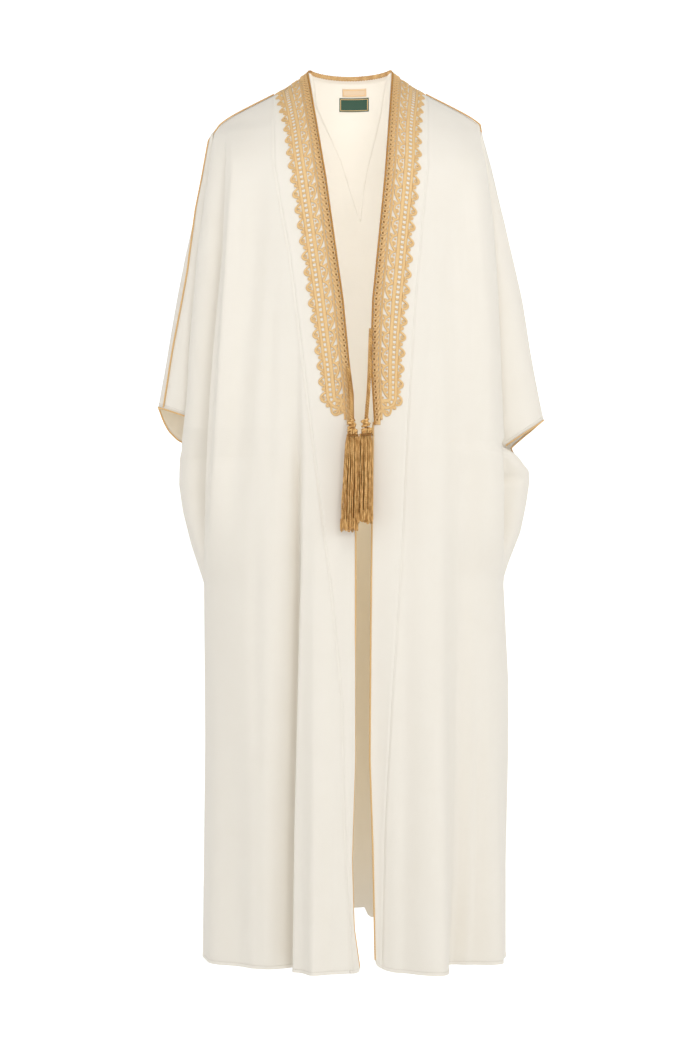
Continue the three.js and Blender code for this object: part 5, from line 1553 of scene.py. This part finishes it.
class CLOAK_OT_stage(bpy.types.Operator):
    """The camera, the pale floor and backdrop, and the soft lights"""

    bl_idname = "cloak.stage"
    bl_label = "Stage"

    def execute(self, context):
        scene, look = context.scene, settings("stage")
        set_camera(scene, look)
        scene.view_settings.view_transform = "Standard"
        world = bpy.data.worlds.new("soft studio")
        world.use_nodes = True
        sky = world.node_tree.nodes["Background"]
        sky.inputs["Color"].default_value = SKY_COLOUR
        sky.inputs["Strength"].default_value = look.sky
        scene.world = world
        for name, low, high, share in PAPERS:
            hang_paper(name, low, high, share * look.paper_glow)
        for lamp in LAMPS:
            set_lamp(scene, look, *lamp)
        return {"FINISHED"}


class CLOAK_OT_tie_cords(bpy.types.Operator):
    """The two tie cords with their knots and tassels"""

    bl_idname = "cloak.tie_cords"
    bl_label = "Tie cords"

    def execute(self, context):
        diameter = settings("trim").cord
        for side in SIDES:
            knot = finished(wound_knot(side), "cord", f"knot_{side}")
            bar = finished(bar_knot(side), "cord", f"bar_knot_{side}")
            finished(tassel(side), "tassel", f"tassel_{side}")
            finished(tassel_heart(side), "tassel")
            finished(cord_core(side, diameter), "cord")
            cord, path = tie_cord(side, diameter)
            finished(cord, "cord", f"cord_{side}")
        return {"FINISHED"}


class CLOAK_OT_fronts(bpy.types.Operator):
    """Both fronts, each a long gore and a side panel"""

    bl_idname = "cloak.fronts"
    bl_label = "Fronts"

    def execute(self, context):
        thickness = settings("cloth").thickness
        for side in SIDES:
            for which, lanes, nodes in (
                ("gore", (0, 1), ("front_gore",)), ("side", (1, 3), ("front_side_upper", "front_side_lower")),
            ):
                stands_for = [f"{node}_{side}" for node in nodes]
                thing = finished(front_panel(side, which, thickness), "cloth", *stands_for)
                hang(thing, front_surface(side, np.linspace(*lanes, 80)[None, :], CUT_DOWNS))
        return {"FINISHED"}


class CLOAK_OT_back(bpy.types.Operator):
    """The back, with the facing inside its neck"""

    bl_idname = "cloak.back"
    bl_label = "Back"

    def execute(self, context):
        thickness = settings("cloth").thickness
        thing = finished(back_panel(thickness), "cloth", "back")
        hang(thing, back_surface(np.linspace(-4, 4, 240)[None, :], CUT_DOWNS))
        finished(neck_facing(thickness / MM), "cloth")
        finished(neck_facing_sewing(thickness / MM), "cloth")
        return {"FINISHED"}


class CLOAK_OT_sleeves(bpy.types.Operator):
    """The cloth over both arms"""

    bl_idname = "cloak.sleeves"
    bl_label = "Sleeves"

    def execute(self, context):
        for side in SIDES:
            thing = finished(arm_panel(side, settings("cloth").thickness), "cloth", f"sleeve_{side}")
            hang(thing, sleeve_grid(side))
        return {"FINISHED"}


class CLOAK_OT_embroidery(bpy.types.Operator):
    """The gold embroidered bands down both fronts"""

    bl_idname = "cloak.embroidery"
    bl_label = "Embroidered bands"

    def execute(self, context):
        for side in SIDES:
            finished(lay_band(side), "embroidery", f"embroidery_{side}")
        return {"FINISHED"}


class CLOAK_OT_braid(bpy.types.Operator):
    """The raised braid and edge cord beside the front edges and round the back of the neck"""

    bl_idname = "cloak.braid"
    bl_label = "Braid"

    def execute(self, context):
        for side in SIDES:
            finished(lay_braid(side), "braid", f"neck_braid_{side}")
            finished(lay_braid_ground(side), "braid")
            finished(lay_braid_painted_shade(side), "braid")
            finished(lay_edge_cord(side), "braid")
        finished(neck_braid_back(), "braid", "neck_braid_back")
        return {"FINISHED"}


class CLOAK_OT_piping(bpy.types.Operator):
    """The gold piping of the front edges, shoulder and arm seams and cuffs"""

    bl_idname = "cloak.piping"
    bl_label = "Piping"

    def execute(self, context):
        for side in SIDES:
            finished(front_piping(side), "piping", f"front_piping_{side}")
            finished(shoulder_piping(side), "piping", f"shoulder_piping_{side}")
            finished(cuff_piping(side), "piping", f"cuff_piping_{side}")
        return {"FINISHED"}


class CLOAK_OT_labels(bpy.types.Operator):
    """The two bare woven labels inside the back of the neck"""

    bl_idname = "cloak.labels"
    bl_label = "Neck labels"

    def execute(self, context):
        thickness = settings("cloth").thickness / MM
        for name, (_, _, finish) in LABELS.items():
            finished(neck_label(name, thickness), finish, name)
            finished(label_border(name, thickness), finish)
        return {"FINISHED"}


class CLOAK_OT_sewing(bpy.types.Operator):
    """The stitches of the hems and of the slanting seams"""

    bl_idname = "cloak.sewing"
    bl_label = "Sewing"

    def execute(self, context):
        finished(hem_sewing(), "cloth")
        finished(seam_sewing(), "cloth")
        return {"FINISHED"}


OPERATORS = (
    CLOAK_OT_stage, CLOAK_OT_tie_cords, CLOAK_OT_fronts, CLOAK_OT_back, CLOAK_OT_sleeves, CLOAK_OT_embroidery,
    CLOAK_OT_braid, CLOAK_OT_piping, CLOAK_OT_labels, CLOAK_OT_sewing,
)


class CLOAK_PT_panel(bpy.types.Panel):
    """Lists the cloak's pieces and their settings"""

    bl_idname = "CLOAK_PT_panel"
    bl_label = "Bisht cloak"
    bl_space_type = "VIEW_3D"
    bl_region_type = "UI"
    bl_category = "Cloak"

    def draw(self, context):
        for operator in OPERATORS:
            self.layout.operator(operator.bl_idname)
        for name, group in SETTINGS:
            box = self.layout.box()
            for key in group.__annotations__:
                box.prop(settings(name), key)


SETTINGS = (("cloth", ClothSettings), ("trim", TrimSettings), ("stage", StageSettings))


def register():
    for name, group in SETTINGS:
        bpy.utils.register_class(group)
        setattr(bpy.types.Scene, "cloak_" + name, bpy.props.PointerProperty(type=group))
    for operator in OPERATORS:
        bpy.utils.register_class(operator)
    bpy.utils.register_class(CLOAK_PT_panel)


def unregister():
    bpy.utils.unregister_class(CLOAK_PT_panel)
    for operator in reversed(OPERATORS):
        bpy.utils.unregister_class(operator)
    for name, group in reversed(SETTINGS):
        delattr(bpy.types.Scene, "cloak_" + name)
        bpy.utils.unregister_class(group)


def main():
    register()
    for operator in OPERATORS:
        group, name = operator.bl_idname.split(".")
        getattr(getattr(bpy.ops, group), name)()


if __name__ == "__main__":
    main()
